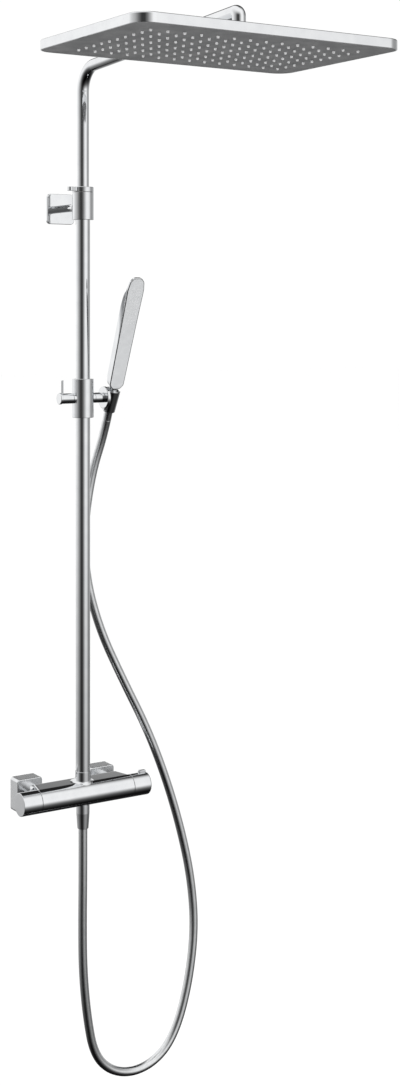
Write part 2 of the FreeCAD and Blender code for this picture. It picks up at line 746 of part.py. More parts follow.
def slider_bush():
    """Plastic liner running on the riser."""
    start = cross(0) + V(0, 0, -HALF)
    end = cross(0) + V(0, 0, HALF)
    return tube(BUSH_R, LOWER_R + RUN_GAP, start, end)


def lock_lever():
    """Left half of the cross rod: turning it locks the slider."""
    outline = [
        (22.4, AXLE_R), (22.4, CROSS_ROD_R), (CROSS_END - 4, CROSS_ROD_R),
        (CROSS_END - 4, CROSS_ROD_R + 1), (CROSS_END - 1, CROSS_ROD_R + 1),
        (CROSS_END, CROSS_ROD_R), (CROSS_END, 0), (38, 0), (38, AXLE_R),
    ]
    solid = turned(outline, cross(0), V(-1, 0, 0))
    pin_foot = cross(-CROSS_END + 7)
    return solid.cut(rod(2.2, pin_foot + V(0, 0, 5), pin_foot + V(0, 0, 12)))


def lock_pin():
    """Upright finger pin of the lock lever."""
    foot = cross(-CROSS_END + 7)
    pin = rod(2.2, foot + V(0, 0, 5), foot + V(0, 0, 33))
    top = [edge for edge in pin.Edges if edge.BoundBox.ZMin > SLIDER_Z + 32.9]
    return pin.makeFillet(1, top)


def lock_screw():
    """Screw that presses the liner against the riser."""
    return rod(AXLE_R, cross(-38), cross(-BUSH_R - 0.4))


def pivot_rod():
    """Right half of the cross rod, with the axle for the holder."""
    solid = joined([
        rod(AXLE_R, cross(BUSH_R + 0.4), cross(24)),
        rod(CROSS_ROD_R, cross(22), cross(KNUCKLE_START - 0.4)),
        rod(5, cross(KNUCKLE_START - 2), cross(KNUCKLE_END - 2)),
    ])
    return solid


TILT = FreeCAD.Rotation(X_AXIS, HOLDER_TILT)
HOLDER_PLACE = FreeCAD.Placement(V(HOLDER_X, RISER_Y, SLIDER_Z), TILT)
HOLDER_TOP = 15.0
HOLDER_BOTTOM = -27.0


def placed(shape):
    """Move a piece from the holder's own axes to the frame."""
    copy = shape.copy()
    copy.Placement = HOLDER_PLACE.multiply(copy.Placement)
    return copy


def holder_cone():
    """Conical fork with a round knuckle on the cross rod and an open side for the hose."""
    low = V(0, 0, HOLDER_BOTTOM)
    high = V(0, 0, HOLDER_TOP)
    height = HOLDER_TOP - HOLDER_BOTTOM
    cone = Part.makeCone(11.9, 14.2, height, low)
    knuckle = rod(KNUCKLE_R, V(KNUCKLE_START - HOLDER_X, 0, 0), V(KNUCKLE_END - HOLDER_X, 0, 0))
    edge = [e for e in knuckle.Edges if e.BoundBox.XLength < 0.01]
    knuckle = knuckle.makeFillet(1, edge)
    web = block(KNUCKLE_END - HOLDER_X - 2, -6, -8, 8, HOLDER_BOTTOM + 4, HOLDER_TOP - 3)
    solid = joined([cone, knuckle, web])
    bore = Part.makeCone(9.7, 11.8, height, low)
    slot = block(0, 20, -HOSE_R - 0.6, HOSE_R + 0.6, HOLDER_BOTTOM - 1, HOLDER_TOP + 1)
    axle = rod(5 + RUN_GAP, V(KNUCKLE_START - HOLDER_X - 1, 0, 0),
               V(KNUCKLE_END - HOLDER_X - 1.6, 0, 0))
    solid = solid.cut(bore).cut(slot).cut(axle)
    return placed(solid)


def hose_cone_nut():
    """Conical hose nut that sits in the holder and carries the handset."""
    height = HOLDER_TOP - HOLDER_BOTTOM
    cone = Part.makeCone(9.3, 11.35, height, V(0, 0, HOLDER_BOTTOM))
    cone = cone.cut(rod(HOSE_BORE_R, V(0, 0, -40), V(0, 0, 40)))
    return placed(cone.cut(rod(8, V(0, 0, 2), V(0, 0, 16))))


def handset_washer():
    """Seal between handset neck and hose nut."""
    return placed(tube(8, HOSE_BORE_R, V(0, 0, 2), V(0, 0, 4)))


def handset_outline(inset):
    """Front outline of the handset, broad at the top."""
    low = HANDSET_START + inset
    high = HANDSET_START + HANDSET_LENGTH - inset
    wide = HANDSET_TOP_WIDTH / 2 - inset
    narrow = HANDSET_LOW_WIDTH / 2 - inset
    points = [
        V(-narrow + 7, 0, low), V(narrow - 7, 0, low), V(narrow, 0, low + 9),
        V(narrow + 1.5, 0, high - 75), V(wide, 0, high - 24), V(wide - 2.5, 0, high - 9),
        V(wide - 9, 0, high - 1.5), V(0, 0, high), V(-wide + 9, 0, high - 1.5),
        V(-wide + 2.5, 0, high - 9), V(-wide, 0, high - 24), V(-narrow - 1.5, 0, high - 75),
        V(-narrow, 0, low + 9),
    ]
    return Part.Face(Part.makePolygon(points + points[:1]))


def handset_body():
    """Handset grip: broad front slab with a deeper back that starts below the top."""
    y0 = -HANDSET_DEPTH / 2
    top = HANDSET_START + HANDSET_LENGTH
    slab = handset_outline(0).extrude(V(0, FACE_THICKNESS, 0))
    slab.translate(V(0, y0, 0))
    side = [
        V(-20, y0 + 1, HANDSET_START + 6), V(-20, -y0 - 4, HANDSET_START + 6),
        V(-20, -y0, HANDSET_START + 22), V(-20, -y0, top - 62), V(-20, -y0 - 4, top - 36),
        V(-20, y0 + FACE_THICKNESS, top - 22), V(-20, y0 + 1, top - 22),
    ]
    back = Part.Face(Part.makePolygon(side + side[:1])).extrude(V(40, 0, 0))
    core = handset_outline(1.5).extrude(V(0, HANDSET_DEPTH + 2, 0))
    core.translate(V(0, y0 - 1, 0))
    back = back.common(core)
    back = rounded(back, 2.5, lambda edge: edge.BoundBox.YMin > -y0 - 4.01 and edge.BoundBox.YMax > -y0 - 0.01
                   and edge.BoundBox.XLength < 2)
    neck = rod(8, V(0, 0, 4), V(0, 0, HANDSET_START + 8))
    solid = joined([slab, back, neck])
    pocket = handset_outline(3).extrude(V(0, 1.6, 0))
    pocket.translate(V(0, y0 - 0.01, 0))
    way = rod(HOSE_BORE_R, V(0, 0, 3), V(0, 0, top - 70))
    return placed(solid.cut(pocket).cut(way))


SPRAY_ROWS = 12


def spray_centres():
    """Centres of the handset nozzles."""
    high = HANDSET_START + HANDSET_LENGTH - 22
    return [V((i - 1.5) * 5.4, 0, high - j * 6) for i in range(4) for j in range(SPRAY_ROWS)]


def handset_face():
    """Inset front plate of the handset, drilled for its nozzles."""
    plate = handset_outline(3).extrude(V(0, 1.59, 0))
    plate.translate(V(0, -HANDSET_DEPTH / 2, 0))
    holes = [
        Part.makeCylinder(0.9, 1, centre + V(0, -HANDSET_DEPTH / 2, 0), Y_AXIS)
        for centre in spray_centres()
    ]
    return placed(plate.cut(Part.makeCompound(holes)))


def handset_nozzles():
    """Silicone nozzles of the handset."""
    front = -HANDSET_DEPTH / 2
    pegs = [
        Part.makeCylinder(0.9, 1.4, centre + V(0, front - 0.4, 0), Y_AXIS)
        for centre in spray_centres()
    ]
    return placed(Part.makeCompound(pegs))


# ---- Hose --------------------------------------------------------------------

def hose_outlet_nut():
    """Long tapered hose nut under the valve."""
    outline = [
        (BAR_Z - BAR_R - 0.6, OUTLET_R), (BAR_Z - BAR_R - 0.6, 12), (-26, 12), (-53, 10.2),
        (-54, 9.4), (-54, HOSE_BORE_R), (-26, HOSE_BORE_R), (-26, OUTLET_R),
    ]
    return turned(outline, on_riser(0), Z_AXIS)


def hose_outlet_washer():
    """Seal between valve outlet and hose nut."""
    return tube(OUTLET_R, HOSE_BORE_R, on_riser(-26), on_riser(OUTLET_END_Z))


def hose_points():
    """Corner points of the hose, the last ones carried by the holder."""
    points = [V(x, y, z) for x, y, z in HOSE_LAY]
    end = HOLDER_PLACE.multVec(V(0, 0, HOLDER_BOTTOM - HOSE_END_GAP))
    before_end = HOLDER_PLACE.multVec(V(0, 0, HOLDER_BOTTOM - HOSE_END_GAP - HOSE_END_RUN))
    return points + [end + V(*HOSE_APPROACH), before_end, end]


def shower_hose():
    """Flexible hose hanging from the valve to the holder."""
    points = hose_points()
    bends = []
    for before, corner, after in zip(points, points[1:], points[2:]):
        into = corner - before
        out = after - corner
        half_turn = into.getAngle(out) / 2
        bends.append(0.45 * min(into.Length, out.Length) / math.tan(half_turn))
    print("hose radii in mm:", [round(bend) for bend in bends])
    return bent_tube(points, bends, HOSE_R, HOSE_BORE_R)


NODES = {
    "valve_body": valve_body(),
    "thermostat_cartridge": cartridge(1),
    "diverter_cartridge": cartridge(-1),
    "temperature_stop_ring": stop_ring(),
    "s_union_left": s_union(-INLET_X),
    "s_union_right": s_union(INLET_X),
    "escutcheon_left": escutcheon(-INLET_X),
    "escutcheon_right": escutcheon(INLET_X),
    "union_nut_left": union_nut(-INLET_X),
    "union_nut_right": union_nut(INLET_X),
    "inlet_filter_washers": both_sides(filter_washer),
    "check_valves": both_sides(check_valve),
    "temperature_knob": knob(1, 3.0).cut(button_slot()),
    "temperature_spindle": spindle(1),
    "temperature_knob_screw": knob_screw(1),
    "safety_button": safety_button(),
    "button_spring": button_spring(),
    "flow_knob": knob(-1, 0.6),
    "diverter_spindle": spindle(-1),
    "flow_knob_screw": knob_screw(-1),
    "riser_lower_tube": riser_lower_tube(),
    "riser_seals": riser_seals(),
    "riser_grub_screw": rod(2, on_riser(46) + V(0, LOWER_R, 0), on_riser(46) + V(0, 14, 0)),
    "riser_top_bush": riser_top_bush(),
    "bracket_sleeve": bracket_sleeve(),
    "clamp_collet": clamp_collet(),
    "clamp_ring": clamp_ring(),
    "bracket_rod": bracket_rod(),
    "bracket_rod_collar": bracket_rod_collar(),
    "bracket_plate": bracket_plate(),
    "bracket_fixing": bracket_fixing(),
    "bracket_screws": bracket_screws(),
    "riser_guide_sleeve": riser_guide_sleeve(),
    "riser_piston_seal": riser_piston_seal(),
    "upper_tube_arm": upper_tube_arm(),
    "riser_end_plug": riser_end_plug(),
    "ball_stem": ball_stem(),
    "ball_liner": ball_liner(),
    "head_shell": head_shell(),
    "head_socket_collar": head_socket_collar(),
    "head_face_plate": head_face_plate(),
    "head_nozzle_mat": head_nozzle_mat(),
    "head_clamp_frame": head_clamp_frame(),
    "head_screws": head_screws(),
    "slider_sleeve": slider_sleeve(),
    "slider_bush": slider_bush(),
    "lock_lever": lock_lever(),
    "lock_pin": lock_pin(),
    "lock_screw": lock_screw(),
    "pivot_rod": pivot_rod(),
    "holder_cone": holder_cone(),
    "hose_cone_nut": hose_cone_nut(),
    "handset_washer": handset_washer(),
    "handset_body": handset_body(),
    "handset_face": handset_face(),
    "handset_nozzles": handset_nozzles(),
    "hose_outlet_nut": hose_outlet_nut(),
    "hose_outlet_washer": hose_outlet_washer(),
    "shower_hose": shower_hose(),
}

for node, shape in NODES.items():
    shape.exportStep("parts/" + node + ".step")
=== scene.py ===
"""Looks of a rainfall shower column: valve, riser, rain head, handset and hose.

Metres throughout. The origin lies on the wall between the two inlets, X runs along the
valve, -Y out of the wall and Z up.
"""

import json
import logging
import math
from dataclasses import dataclass, field
from enum import Enum
from typing import Optional, Sequence

import bmesh
import bpy
import numpy as np
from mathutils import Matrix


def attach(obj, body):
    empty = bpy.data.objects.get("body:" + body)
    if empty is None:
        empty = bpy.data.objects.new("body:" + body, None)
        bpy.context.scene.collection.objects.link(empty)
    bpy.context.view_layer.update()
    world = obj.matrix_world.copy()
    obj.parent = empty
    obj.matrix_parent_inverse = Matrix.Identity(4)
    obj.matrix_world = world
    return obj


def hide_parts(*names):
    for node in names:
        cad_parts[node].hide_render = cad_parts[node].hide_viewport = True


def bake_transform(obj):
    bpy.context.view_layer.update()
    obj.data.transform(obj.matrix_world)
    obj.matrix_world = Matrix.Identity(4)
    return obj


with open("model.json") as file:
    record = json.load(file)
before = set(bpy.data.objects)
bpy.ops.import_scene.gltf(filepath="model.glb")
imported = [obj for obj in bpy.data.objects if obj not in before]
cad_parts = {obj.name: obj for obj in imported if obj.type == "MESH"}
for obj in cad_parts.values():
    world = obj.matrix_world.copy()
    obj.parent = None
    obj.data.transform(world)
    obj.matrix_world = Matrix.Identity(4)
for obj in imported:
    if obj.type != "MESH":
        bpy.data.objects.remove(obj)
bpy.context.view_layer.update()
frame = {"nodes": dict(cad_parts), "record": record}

LOG = logging.getLogger("shower_column")
Array = np.ndarray

WELD = 2e-7                # points closer than this are one
SLIVER = 1e-8              # edges shorter than this are dropped
SHARP_ANGLE = math.radians(38)
COAT_ROUGHNESS = 0.08
MOTTLE_OCTAVES = 4.0
RELIEF_OCTAVES = 3.0
TINT_RANGE = (0.32, 0.72)  # mottling at which the colour drift begins and ends
HAZE_RANGE = (0.12, 0.42)  # product of both noises at which the haze begins and ends
WHITE = (1.0, 1.0, 1.0, 1.0)


class Body(Enum):
    """Bodies of the shower column that the pieces made here ride on."""

    VALVE = "valve"
    TEMPERATURE = "temperature_control"
    STOP = "safety_stop"
    FLOW = "flow_control"
    ARM = "arm"
    HEAD = "rain_head"
    CLAMP = "clamp"
    SLIDER = "slider"
    LOCK = "lock"
    HOLDER = "holder"
    HANDSET = "handset"


class Slot(Enum):
    """Material slots of the record."""

    CHROME = "polished_chrome"
    BRASS = "plain_brass"
    PLASTIC = "white_engineering_plastic"
    RUBBER = "black_rubber"
    SILICONE = "grey_silicone"
    PLATE = "matte_grey_plate"
    FACE = "pale_grey_face"
    STEEL = "stainless_steel"
    HOSE = "metal_look_hose"


class Axis(Enum):
    """Directions that a turned piece can have."""

    X = (1.0, 0.0, 0.0)
    LEFT = (-1.0, 0.0, 0.0)
    Y = (0.0, 1.0, 0.0)
    OUT = (0.0, -1.0, 0.0)
    Z = (0.0, 0.0, 1.0)


# ---- Finishes ----------------------------------------------------------------

def product(tree: bpy.types.NodeTree, first: bpy.types.NodeSocket,
            second: bpy.types.NodeSocket) -> bpy.types.NodeSocket:
    """Product of two values.

    Args:
        tree: Node tree that the values belong to.
        first: One value.
        second: The other.

    Returns:
        The product.
    """
    both = tree.nodes.new("ShaderNodeMath")
    both.operation = "MULTIPLY"
    tree.links.new(first, both.inputs[0])
    tree.links.new(second, both.inputs[1])
    return both.outputs["Value"]


@dataclass(frozen=True)
class Finish:
    """A surface finish with colour variation, haze and fine relief.

    Args:
        name: Name of the material.
        colour: Mean colour, linear RGB.
        other: Colour that the mottling drifts to.
        metal: 1 for metal, 0 for plastic or paint.
        rough: Lowest roughness.
        haze: Added where the mottling is strongest.
        grain: Mottling detail per metre.
        relief: Depth of the fine relief in metres.
        relief_scale: Relief detail per metre.
        stretch: Scale of the relief along X, Y and Z, for drawn or brushed metal.
        specular: Specular level of a plastic or paint.
        coat: Weight of a clear coat.
        sheen: Weight of a dusty sheen.
    """

    name: str
    colour: tuple[float, float, float]
    other: tuple[float, float, float]
    metal: float = 1.0
    rough: float = 0.05
    haze: float = 0.03
    grain: float = 60.0
    relief: float = 0.00001
    relief_scale: float = 900.0
    stretch: tuple[float, float, float] = (1.0, 1.0, 1.0)
    specular: float = 0.5
    coat: float = 0.0
    sheen: float = 0.0

    def material(self) -> bpy.types.Material:
        """Material of this finish, made once.

        Returns:
            The shared material.
        """
        found = bpy.data.materials.get(self.name)
        if found is not None:
            return found
        material = bpy.data.materials.new(self.name)
        material.use_nodes = True
        tree = material.node_tree
        shader = tree.nodes["Principled BSDF"]
        shader.inputs["Metallic"].default_value = self.metal
        shader.inputs["Specular IOR Level"].default_value = self.specular
        shader.inputs["Coat Weight"].default_value = self.coat
        shader.inputs["Coat Roughness"].default_value = COAT_ROUGHNESS
        shader.inputs["Sheen Weight"].default_value = self.sheen
        place = tree.nodes.new("ShaderNodeTexCoord")
        mottle = self.noise(tree, place, self.grain, MOTTLE_OCTAVES, (1.0, 1.0, 1.0))
        self.tint(tree, shader, mottle)
        fine = self.noise(tree, place, self.relief_scale, RELIEF_OCTAVES, self.stretch)
        self.smear(tree, shader, mottle, fine)
        bump = tree.nodes.new("ShaderNodeBump")
        bump.inputs["Strength"].default_value = 1.0
        bump.inputs["Distance"].default_value = self.relief
        tree.links.new(fine.outputs["Fac"], bump.inputs["Height"])
        tree.links.new(bump.outputs["Normal"], shader.inputs["Normal"])
        return material

    def noise(self, tree: bpy.types.NodeTree, place: bpy.types.Node, scale: float,
              detail: float, stretch: tuple[float, float, float]) -> bpy.types.Node:
        """Noise on object coordinates.

        Args:
            tree: Node tree of the material.
            place: Texture coordinate node.
            scale: Noise detail per metre.
            detail: Number of octaves.
            stretch: Scale along each axis.

        Returns:
            The noise node.
        """
        turn = tree.nodes.new("ShaderNodeMapping")
        turn.inputs["Scale"].default_value = stretch
        noise = tree.nodes.new("ShaderNodeTexNoise")
        noise.inputs["Scale"].default_value = scale
        noise.inputs["Detail"].default_value = detail
        tree.links.new(place.outputs["Object"], turn.inputs["Vector"])
        tree.links.new(turn.outputs["Vector"], noise.inputs["Vector"])
        return noise

    def tint(self, tree: bpy.types.NodeTree, shader: bpy.types.Node,
             mottle: bpy.types.Node) -> None:
        """Colour that drifts between the two tones of the finish.

        Args:
            tree: Node tree of the material.
            shader: Its shader.
            mottle: Noise that the colour follows.
        """
        ramp = tree.nodes.new("ShaderNodeValToRGB")
        for stop, position, colour in zip(ramp.color_ramp.elements, TINT_RANGE,
                                          (self.colour, self.other)):
            stop.position = position
            stop.color = (*colour, 1.0)
        tree.links.new(mottle.outputs["Fac"], ramp.inputs["Fac"])
        tree.links.new(ramp.outputs["Color"], shader.inputs["Base Color"])

    def smear(self, tree: bpy.types.NodeTree, shader: bpy.types.Node,
              mottle: bpy.types.Node, fine: bpy.types.Node) -> None:
        """Roughness between its lowest value and that plus the haze.

        Args:
            tree: Node tree of the material.
            shader: Its shader.
            mottle: Coarse noise.
            fine: Fine noise that it is multiplied by.
        """
        both = product(tree, mottle.outputs["Fac"], fine.outputs["Fac"])
        spread = tree.nodes.new("ShaderNodeMapRange")
        spread.inputs["From Min"].default_value = HAZE_RANGE[0]
        spread.inputs["From Max"].default_value = HAZE_RANGE[1]
        spread.inputs["To Min"].default_value = self.rough
        spread.inputs["To Max"].default_value = self.rough + self.haze
        tree.links.new(both, spread.inputs["Value"])
        tree.links.new(spread.outputs["Result"], shader.inputs["Roughness"])


CHROME = Finish("Chrome", (0.80, 0.81, 0.82), (0.74, 0.75, 0.765), rough=0.035, haze=0.035,
                grain=45.0, relief=0.0000015, relief_scale=220.0)
COVER_CHROME = Finish("CoverChrome", (0.80, 0.81, 0.82), (0.75, 0.76, 0.77), rough=0.22,
                      haze=0.10, grain=60.0, relief=0.000002, relief_scale=260.0)
SATIN_PLATE = Finish("GreyPlate", (0.13, 0.131, 0.134), (0.115, 0.116, 0.12), metal=0.0,
                     rough=0.42, haze=0.16, grain=35.0, relief=0.00002, relief_scale=2600.0)
SILICONE = Finish("NozzleSilicone", (0.80, 0.803, 0.806), (0.72, 0.723, 0.727), metal=0.0,
                  rough=0.38, haze=0.2, grain=500.0, relief=0.00002, relief_scale=3000.0,
                  sheen=0.15)
FACE = Finish("HandsetFace", (0.62, 0.63, 0.64), (0.56, 0.57, 0.58), metal=0.0, rough=0.2,
              haze=0.12, grain=120.0, relief=0.00001, relief_scale=2200.0, coat=0.4)
BRASS = Finish("Brass", (0.62, 0.45, 0.19), (0.48, 0.33, 0.13), rough=0.25, haze=0.2,
               grain=160.0, relief=0.00004, relief_scale=2500.0)
PLASTIC = Finish("WhitePlastic", (0.70, 0.70, 0.68), (0.62, 0.62, 0.60), metal=0.0, rough=0.4,
                 haze=0.15, grain=140.0, relief=0.00003, relief_scale=2400.0)
RUBBER = Finish("Rubber", (0.018, 0.018, 0.019), (0.035, 0.034, 0.033), metal=0.0, rough=0.6,
                haze=0.2, grain=200.0, relief=0.00005, relief_scale=3000.0, sheen=0.2)
STEEL = Finish("Steel", (0.56, 0.55, 0.53), (0.47, 0.46, 0.45), rough=0.22, haze=0.18,
               grain=150.0, relief=0.00003, relief_scale=1800.0)
HOSE = Finish("HoseSkin", (0.78, 0.79, 0.80), (0.70, 0.71, 0.72), rough=0.19, haze=0.08,
              grain=90.0, relief=0.00003, relief_scale=1500.0)

SLOT_FINISH = {
    Slot.CHROME.value: CHROME, Slot.BRASS.value: BRASS, Slot.PLASTIC.value: PLASTIC,
    Slot.RUBBER.value: RUBBER, Slot.SILICONE.value: SILICONE, Slot.PLATE.value: SATIN_PLATE,
    Slot.FACE.value: FACE, Slot.STEEL.value: STEEL, Slot.HOSE.value: HOSE,
}


# ---- Surfaces ----------------------------------------------------------------

@dataclass(frozen=True)
class Skin:
    """Points and faces of one surface, in metres.

    Args:
        points: Array of points, one row each.
        faces: Lists of point numbers, one list a face.
    """

    points: Array
    faces: list[list[int]]


@dataclass(frozen=True)
class Place:
    """Axes of a sub-assembly in the frame.

    Args:
        origin: Its origin.
        lean: Turn about X in degrees.
    """

    origin: tuple[float, float, float] = (0.0, 0.0, 0.0)
    lean: float = 0.0

    def put(self, skin: Skin) -> Skin:
        """A surface turned about X by the lean and moved to the origin.

        Args:
            skin: The surface in the sub-assembly's own axes.

        Returns:
            The surface in the frame.
        """
        angle = math.radians(self.lean)
        turn = np.array([(1.0, 0.0, 0.0),
                         (0.0, math.cos(angle), -math.sin(angle)),
                         (0.0, math.sin(angle), math.cos(angle))])
        return Skin(skin.points @ turn.T + np.array(self.origin), skin.faces)


X_SIDE = np.array((1.0, 0.0, 0.0))
Y_SIDE = np.array((0.0, 1.0, 0.0))
Z_SIDE = np.array((0.0, 0.0, 1.0))


def woven(rows: Array, capped: bool = False, looped: bool = False) -> Skin:
    """Surface through rows of points, each row a closed ring.

    Args:
        rows: Array of rows, points and coordinates.
        capped: Whether the first and last rows are closed by flat faces.
        looped: Whether the last row joins the first.

    Returns:
        The surface.
    """
    count, width = rows.shape[:2]
    row, column = np.meshgrid(np.arange(count if looped else count - 1), np.arange(width),
                              indexing="ij")
    next_row, next_column = (row + 1) % count, (column + 1) % width
    faces = np.stack([row * width + column, row * width + next_column,
                      next_row * width + next_column, next_row * width + column],
                     axis=-1).reshape(-1, 4).tolist()
    if capped:
        faces += [list(range(width))[::-1], list(range((count - 1) * width, count * width))]
    return Skin(rows.reshape(-1, 3), faces)


def soften(corners: Sequence[tuple[float, float]], radius: float | Sequence[float],
           steps: int = 4, closed: bool = False, inset: float = 0.0) -> Array:
    """Outline whose corners are arcs, each tangent to both its sides.

    An arc is the rational curve (1-t)^2 a + 2t(1-t)w c + t^2 b over the sum of its
    weights, with c the corner, a and b the tangent points and w the sine of half the
    corner's angle. An inset moves every side of a closed, anticlockwise outline inward.

    Args:
        corners: Corners of the outline.
        radius: Radius of every arc, or one for each corner.
        steps: Spans in an arc.
        closed: Whether the last corner joins the first.
        inset: How far the sides of a closed outline move inward.

    Returns:
        Points of the outline.
    """
    corner = np.asarray(corners, float)
    wanted = np.broadcast_to(np.asarray(radius, float), (len(corner),))
    ahead = np.roll(corner, -1, axis=0) - corner
    length = np.linalg.norm(ahead, axis=1, keepdims=True)
    ahead = ahead / length
    back = -np.roll(ahead, 1, axis=0)
    if inset:
        inward = np.column_stack([-ahead[:, 1], ahead[:, 0]])
        both = inward + np.roll(inward, 1, axis=0)
        corner = corner + inset * both / (both ** 2).sum(axis=1, keepdims=True) * 2
        wanted = np.maximum(wanted - inset, np.minimum(wanted, 0.0002))
    half = np.arccos(np.clip((back * ahead).sum(axis=1), -0.999999, 0.999999)) / 2
    least = np.minimum(length, np.roll(length, 1, axis=0))[:, 0]
    reach = np.minimum(wanted / np.tan(half), 0.48 * least)[:, None, None]
    weight = np.sin(half)[:, None, None]
    part = np.linspace(0.0, 1.0, steps + 1)[None, :, None]
    total = (1 - part) ** 2 + 2 * part * (1 - part) * weight + part ** 2
    arcs = corner[:, None] + reach * ((1 - part) ** 2 * back[:, None]
                                      + part ** 2 * ahead[:, None]) / total
    if closed:
        return arcs.reshape(-1, 2)
    return np.concatenate([corner[:1], arcs[1:-1].reshape(-1, 2), corner[-1:]])


def turned(outline: Array, origin: Sequence[float], axis: Axis, steps: int = 96,
           ring: bool = False) -> Skin:
    """Surface of revolution: origin + along * axis + radius * (cos t * u + sin t * v).

    Args:
        outline: Rows of (along, radius).
        origin: Start of the axis.
        axis: Direction of the axis.
        steps: Spans in a full turn.
        ring: Whether the outline is a closed loop, as on a ring.

    Returns:
        The surface.
    """
    direction = np.array(axis.value)
    first = np.cross(np.roll(np.abs(direction), 1), direction)
    second = np.cross(direction, first)
    angle = np.linspace(0.0, 2 * math.pi, steps, endpoint=False)
    spoke = np.cos(angle)[:, None] * first + np.sin(angle)[:, None] * second
    rows = (np.asarray(origin, float) + outline[:, 0][:, None, None] * direction
            + outline[:, 1][:, None, None] * spoke[None])
    return woven(rows, looped=ring)


def rod(radius: float, start: float, end: float, origin: Sequence[float], axis: Axis,
        edge: float = 0.0004, steps: int = 96) -> Skin:
    """Closed round bar with softened ends.

    Args:
        radius: Its radius.
        start: Where it begins along the axis.
        end: Where it ends.
        origin: Start of the axis.
        axis: Direction of the axis.
        edge: Radius of the end edges.
        steps: Spans in a full turn.

    Returns:
        The surface.
    """
    outline = soften([(start, 0.0), (start, radius), (end, radius), (end, 0.0)],
                     [0.0, edge, edge, 0.0])
    return turned(outline, origin, axis, steps)


def pipe(outer: float, inner: float, start: float, end: float, origin: Sequence[float],
         axis: Axis, edge: float = 0.0003, steps: int = 96) -> Skin:
    """Round tube with a bore and softened ends.

    Args:
        outer: Outer radius.
        inner: Radius of the bore.
        start: Where it begins along the axis.
        end: Where it ends.
        origin: Start of the axis.
        axis: Direction of the axis.
        edge: Radius of all four edges.
        steps: Spans in a full turn.

    Returns:
        The surface.
    """
    outline = soften([(start, inner), (start, outer), (end, outer), (end, inner)], edge,
                     closed=True)
    return turned(outline, origin, axis, steps, ring=True)


def slab(corners: Sequence[tuple[float, float]], radius: float | Sequence[float], rows: Array,
         origin: Sequence[float], across: Array, up: Array, steps: int = 8) -> Skin:
    """Flat piece: each row is the rounded outline moved inward, at its own height.

    Args:
        corners: Anticlockwise corners of the outline.
        radius: Corner radius, or one for each corner.
        rows: Rows of (inset, height along the flat's normal).
        origin: Origin of outline and heights.
        across: Direction of the outline's first coordinate.
        up: Direction of its second.
        steps: Spans in a corner.

    Returns:
        The closed surface.
    """
    flat = np.stack([soften(corners, radius, steps, True, inset) for inset in rows[:, 0]])
    points = (np.asarray(origin, float) + flat[..., :1] * across + flat[..., 1:] * up
              + rows[:, 1][:, None, None] * np.cross(across, up))
    return woven(points, capped=True)


def box_corners(half_width: float, half_height: float, x: float = 0.0,
                y: float = 0.0) -> list[tuple[float, float]]:
    """Anticlockwise corners of a rectangle whose centre is (x, y)."""
    return [(x - half_width, y - half_height), (x + half_width, y - half_height),
            (x + half_width, y + half_height), (x - half_width, y + half_height)]


def swept(line: Array, outer: float, reference: Array, inner: float = 0.0, steps: int = 48,
          edge: float = 0.0004) -> Skin:
    """Round tube along a line, each ring square to it.

    A ring is radius * (cos t * side + sin t * over), side being the reference crossed
    with the line's direction and over their common normal.

    Args:
        line: Points of the middle line.
        outer: Outer radius.
        reference: A direction that the line never takes.
        inner: Radius of the bore, nought for a closed end.
        steps: Spans round the tube.
        edge: Radius by which a closed end is softened.

    Returns:
        The surface.
    """
    direction = np.gradient(line, axis=0)
    direction = direction / np.linalg.norm(direction, axis=1, keepdims=True)
    side = np.cross(reference, direction)
    side = side / np.linalg.norm(side, axis=1, keepdims=True)
    over = np.cross(direction, side)
    last = len(line) - 1
    inside = np.arange(1, last)
    if inner:
        station = np.concatenate([np.arange(last + 1), np.arange(last + 1)[::-1]])
        radius = np.repeat((outer, inner), last + 1)
        shift = np.zeros(len(station))
    else:
        station = np.concatenate([[0, 0, 0], inside, [last, last, last]])
        radius = np.concatenate([[0.0, outer - edge], np.full(last + 1, outer),
                                 [outer - edge, 0.0]])
        shift = np.concatenate([[0.0, 0.0, edge], inside * 0.0, [-edge, 0.0, 0.0]])
    angle = np.linspace(0.0, 2 * math.pi, steps, endpoint=False)[None, :, None]
    ring = np.cos(angle) * side[station][:, None] + np.sin(angle) * over[station][:, None]
    centre = line[station] + shift[:, None] * direction[station]
    return woven(centre[:, None] + radius[:, None, None] * ring, looped=bool(inner))


def copies(one: Skin, shifts: Array) -> Skin:
    """One small surface of four-sided faces repeated at many places.

    Args:
        one: The surface.
        shifts: Rows of places.

    Returns:
        All the copies as one surface.
    """
    points = (one.points[None] + shifts[:, None]).reshape(-1, 3)
    step = np.arange(len(shifts))[:, None, None] * len(one.points)
    return Skin(points, (np.array(one.faces)[None] + step).reshape(-1, 4).tolist())


def make_mesh(name: str, skins: Sequence[Skin]) -> bpy.types.Mesh:
    """One welded mesh with its faces turned outward.

    Args:
        name: Name of the mesh.
        skins: Its surfaces.

    Returns:
        The mesh.
    """
    starts = np.cumsum([0] + [len(skin.points) for skin in skins]).tolist()
    faces = [[start + corner for corner in face]
             for start, skin in zip(starts, skins) for face in skin.faces]
    mesh = bpy.data.meshes.new(name)
    mesh.from_pydata(np.concatenate([skin.points for skin in skins]).tolist(), [], faces)
    work = bmesh.new()
    work.from_mesh(mesh)
    bmesh.ops.remove_doubles(work, verts=work.verts, dist=WELD)
    bmesh.ops.dissolve_degenerate(work, edges=work.edges, dist=SLIVER)
    bmesh.ops.recalc_face_normals(work, faces=work.faces)
    work.to_mesh(mesh)
    work.free()
    return mesh


def linked(name: str, data: bpy.types.ID) -> bpy.types.Object:
    """New object in the scene.

    Args:
        name: Name of the object.
        data: Its mesh, curve, light or camera.

    Returns:
        The object.
    """
    made = bpy.data.objects.new(name, data)
    bpy.context.collection.objects.link(made)
    return made


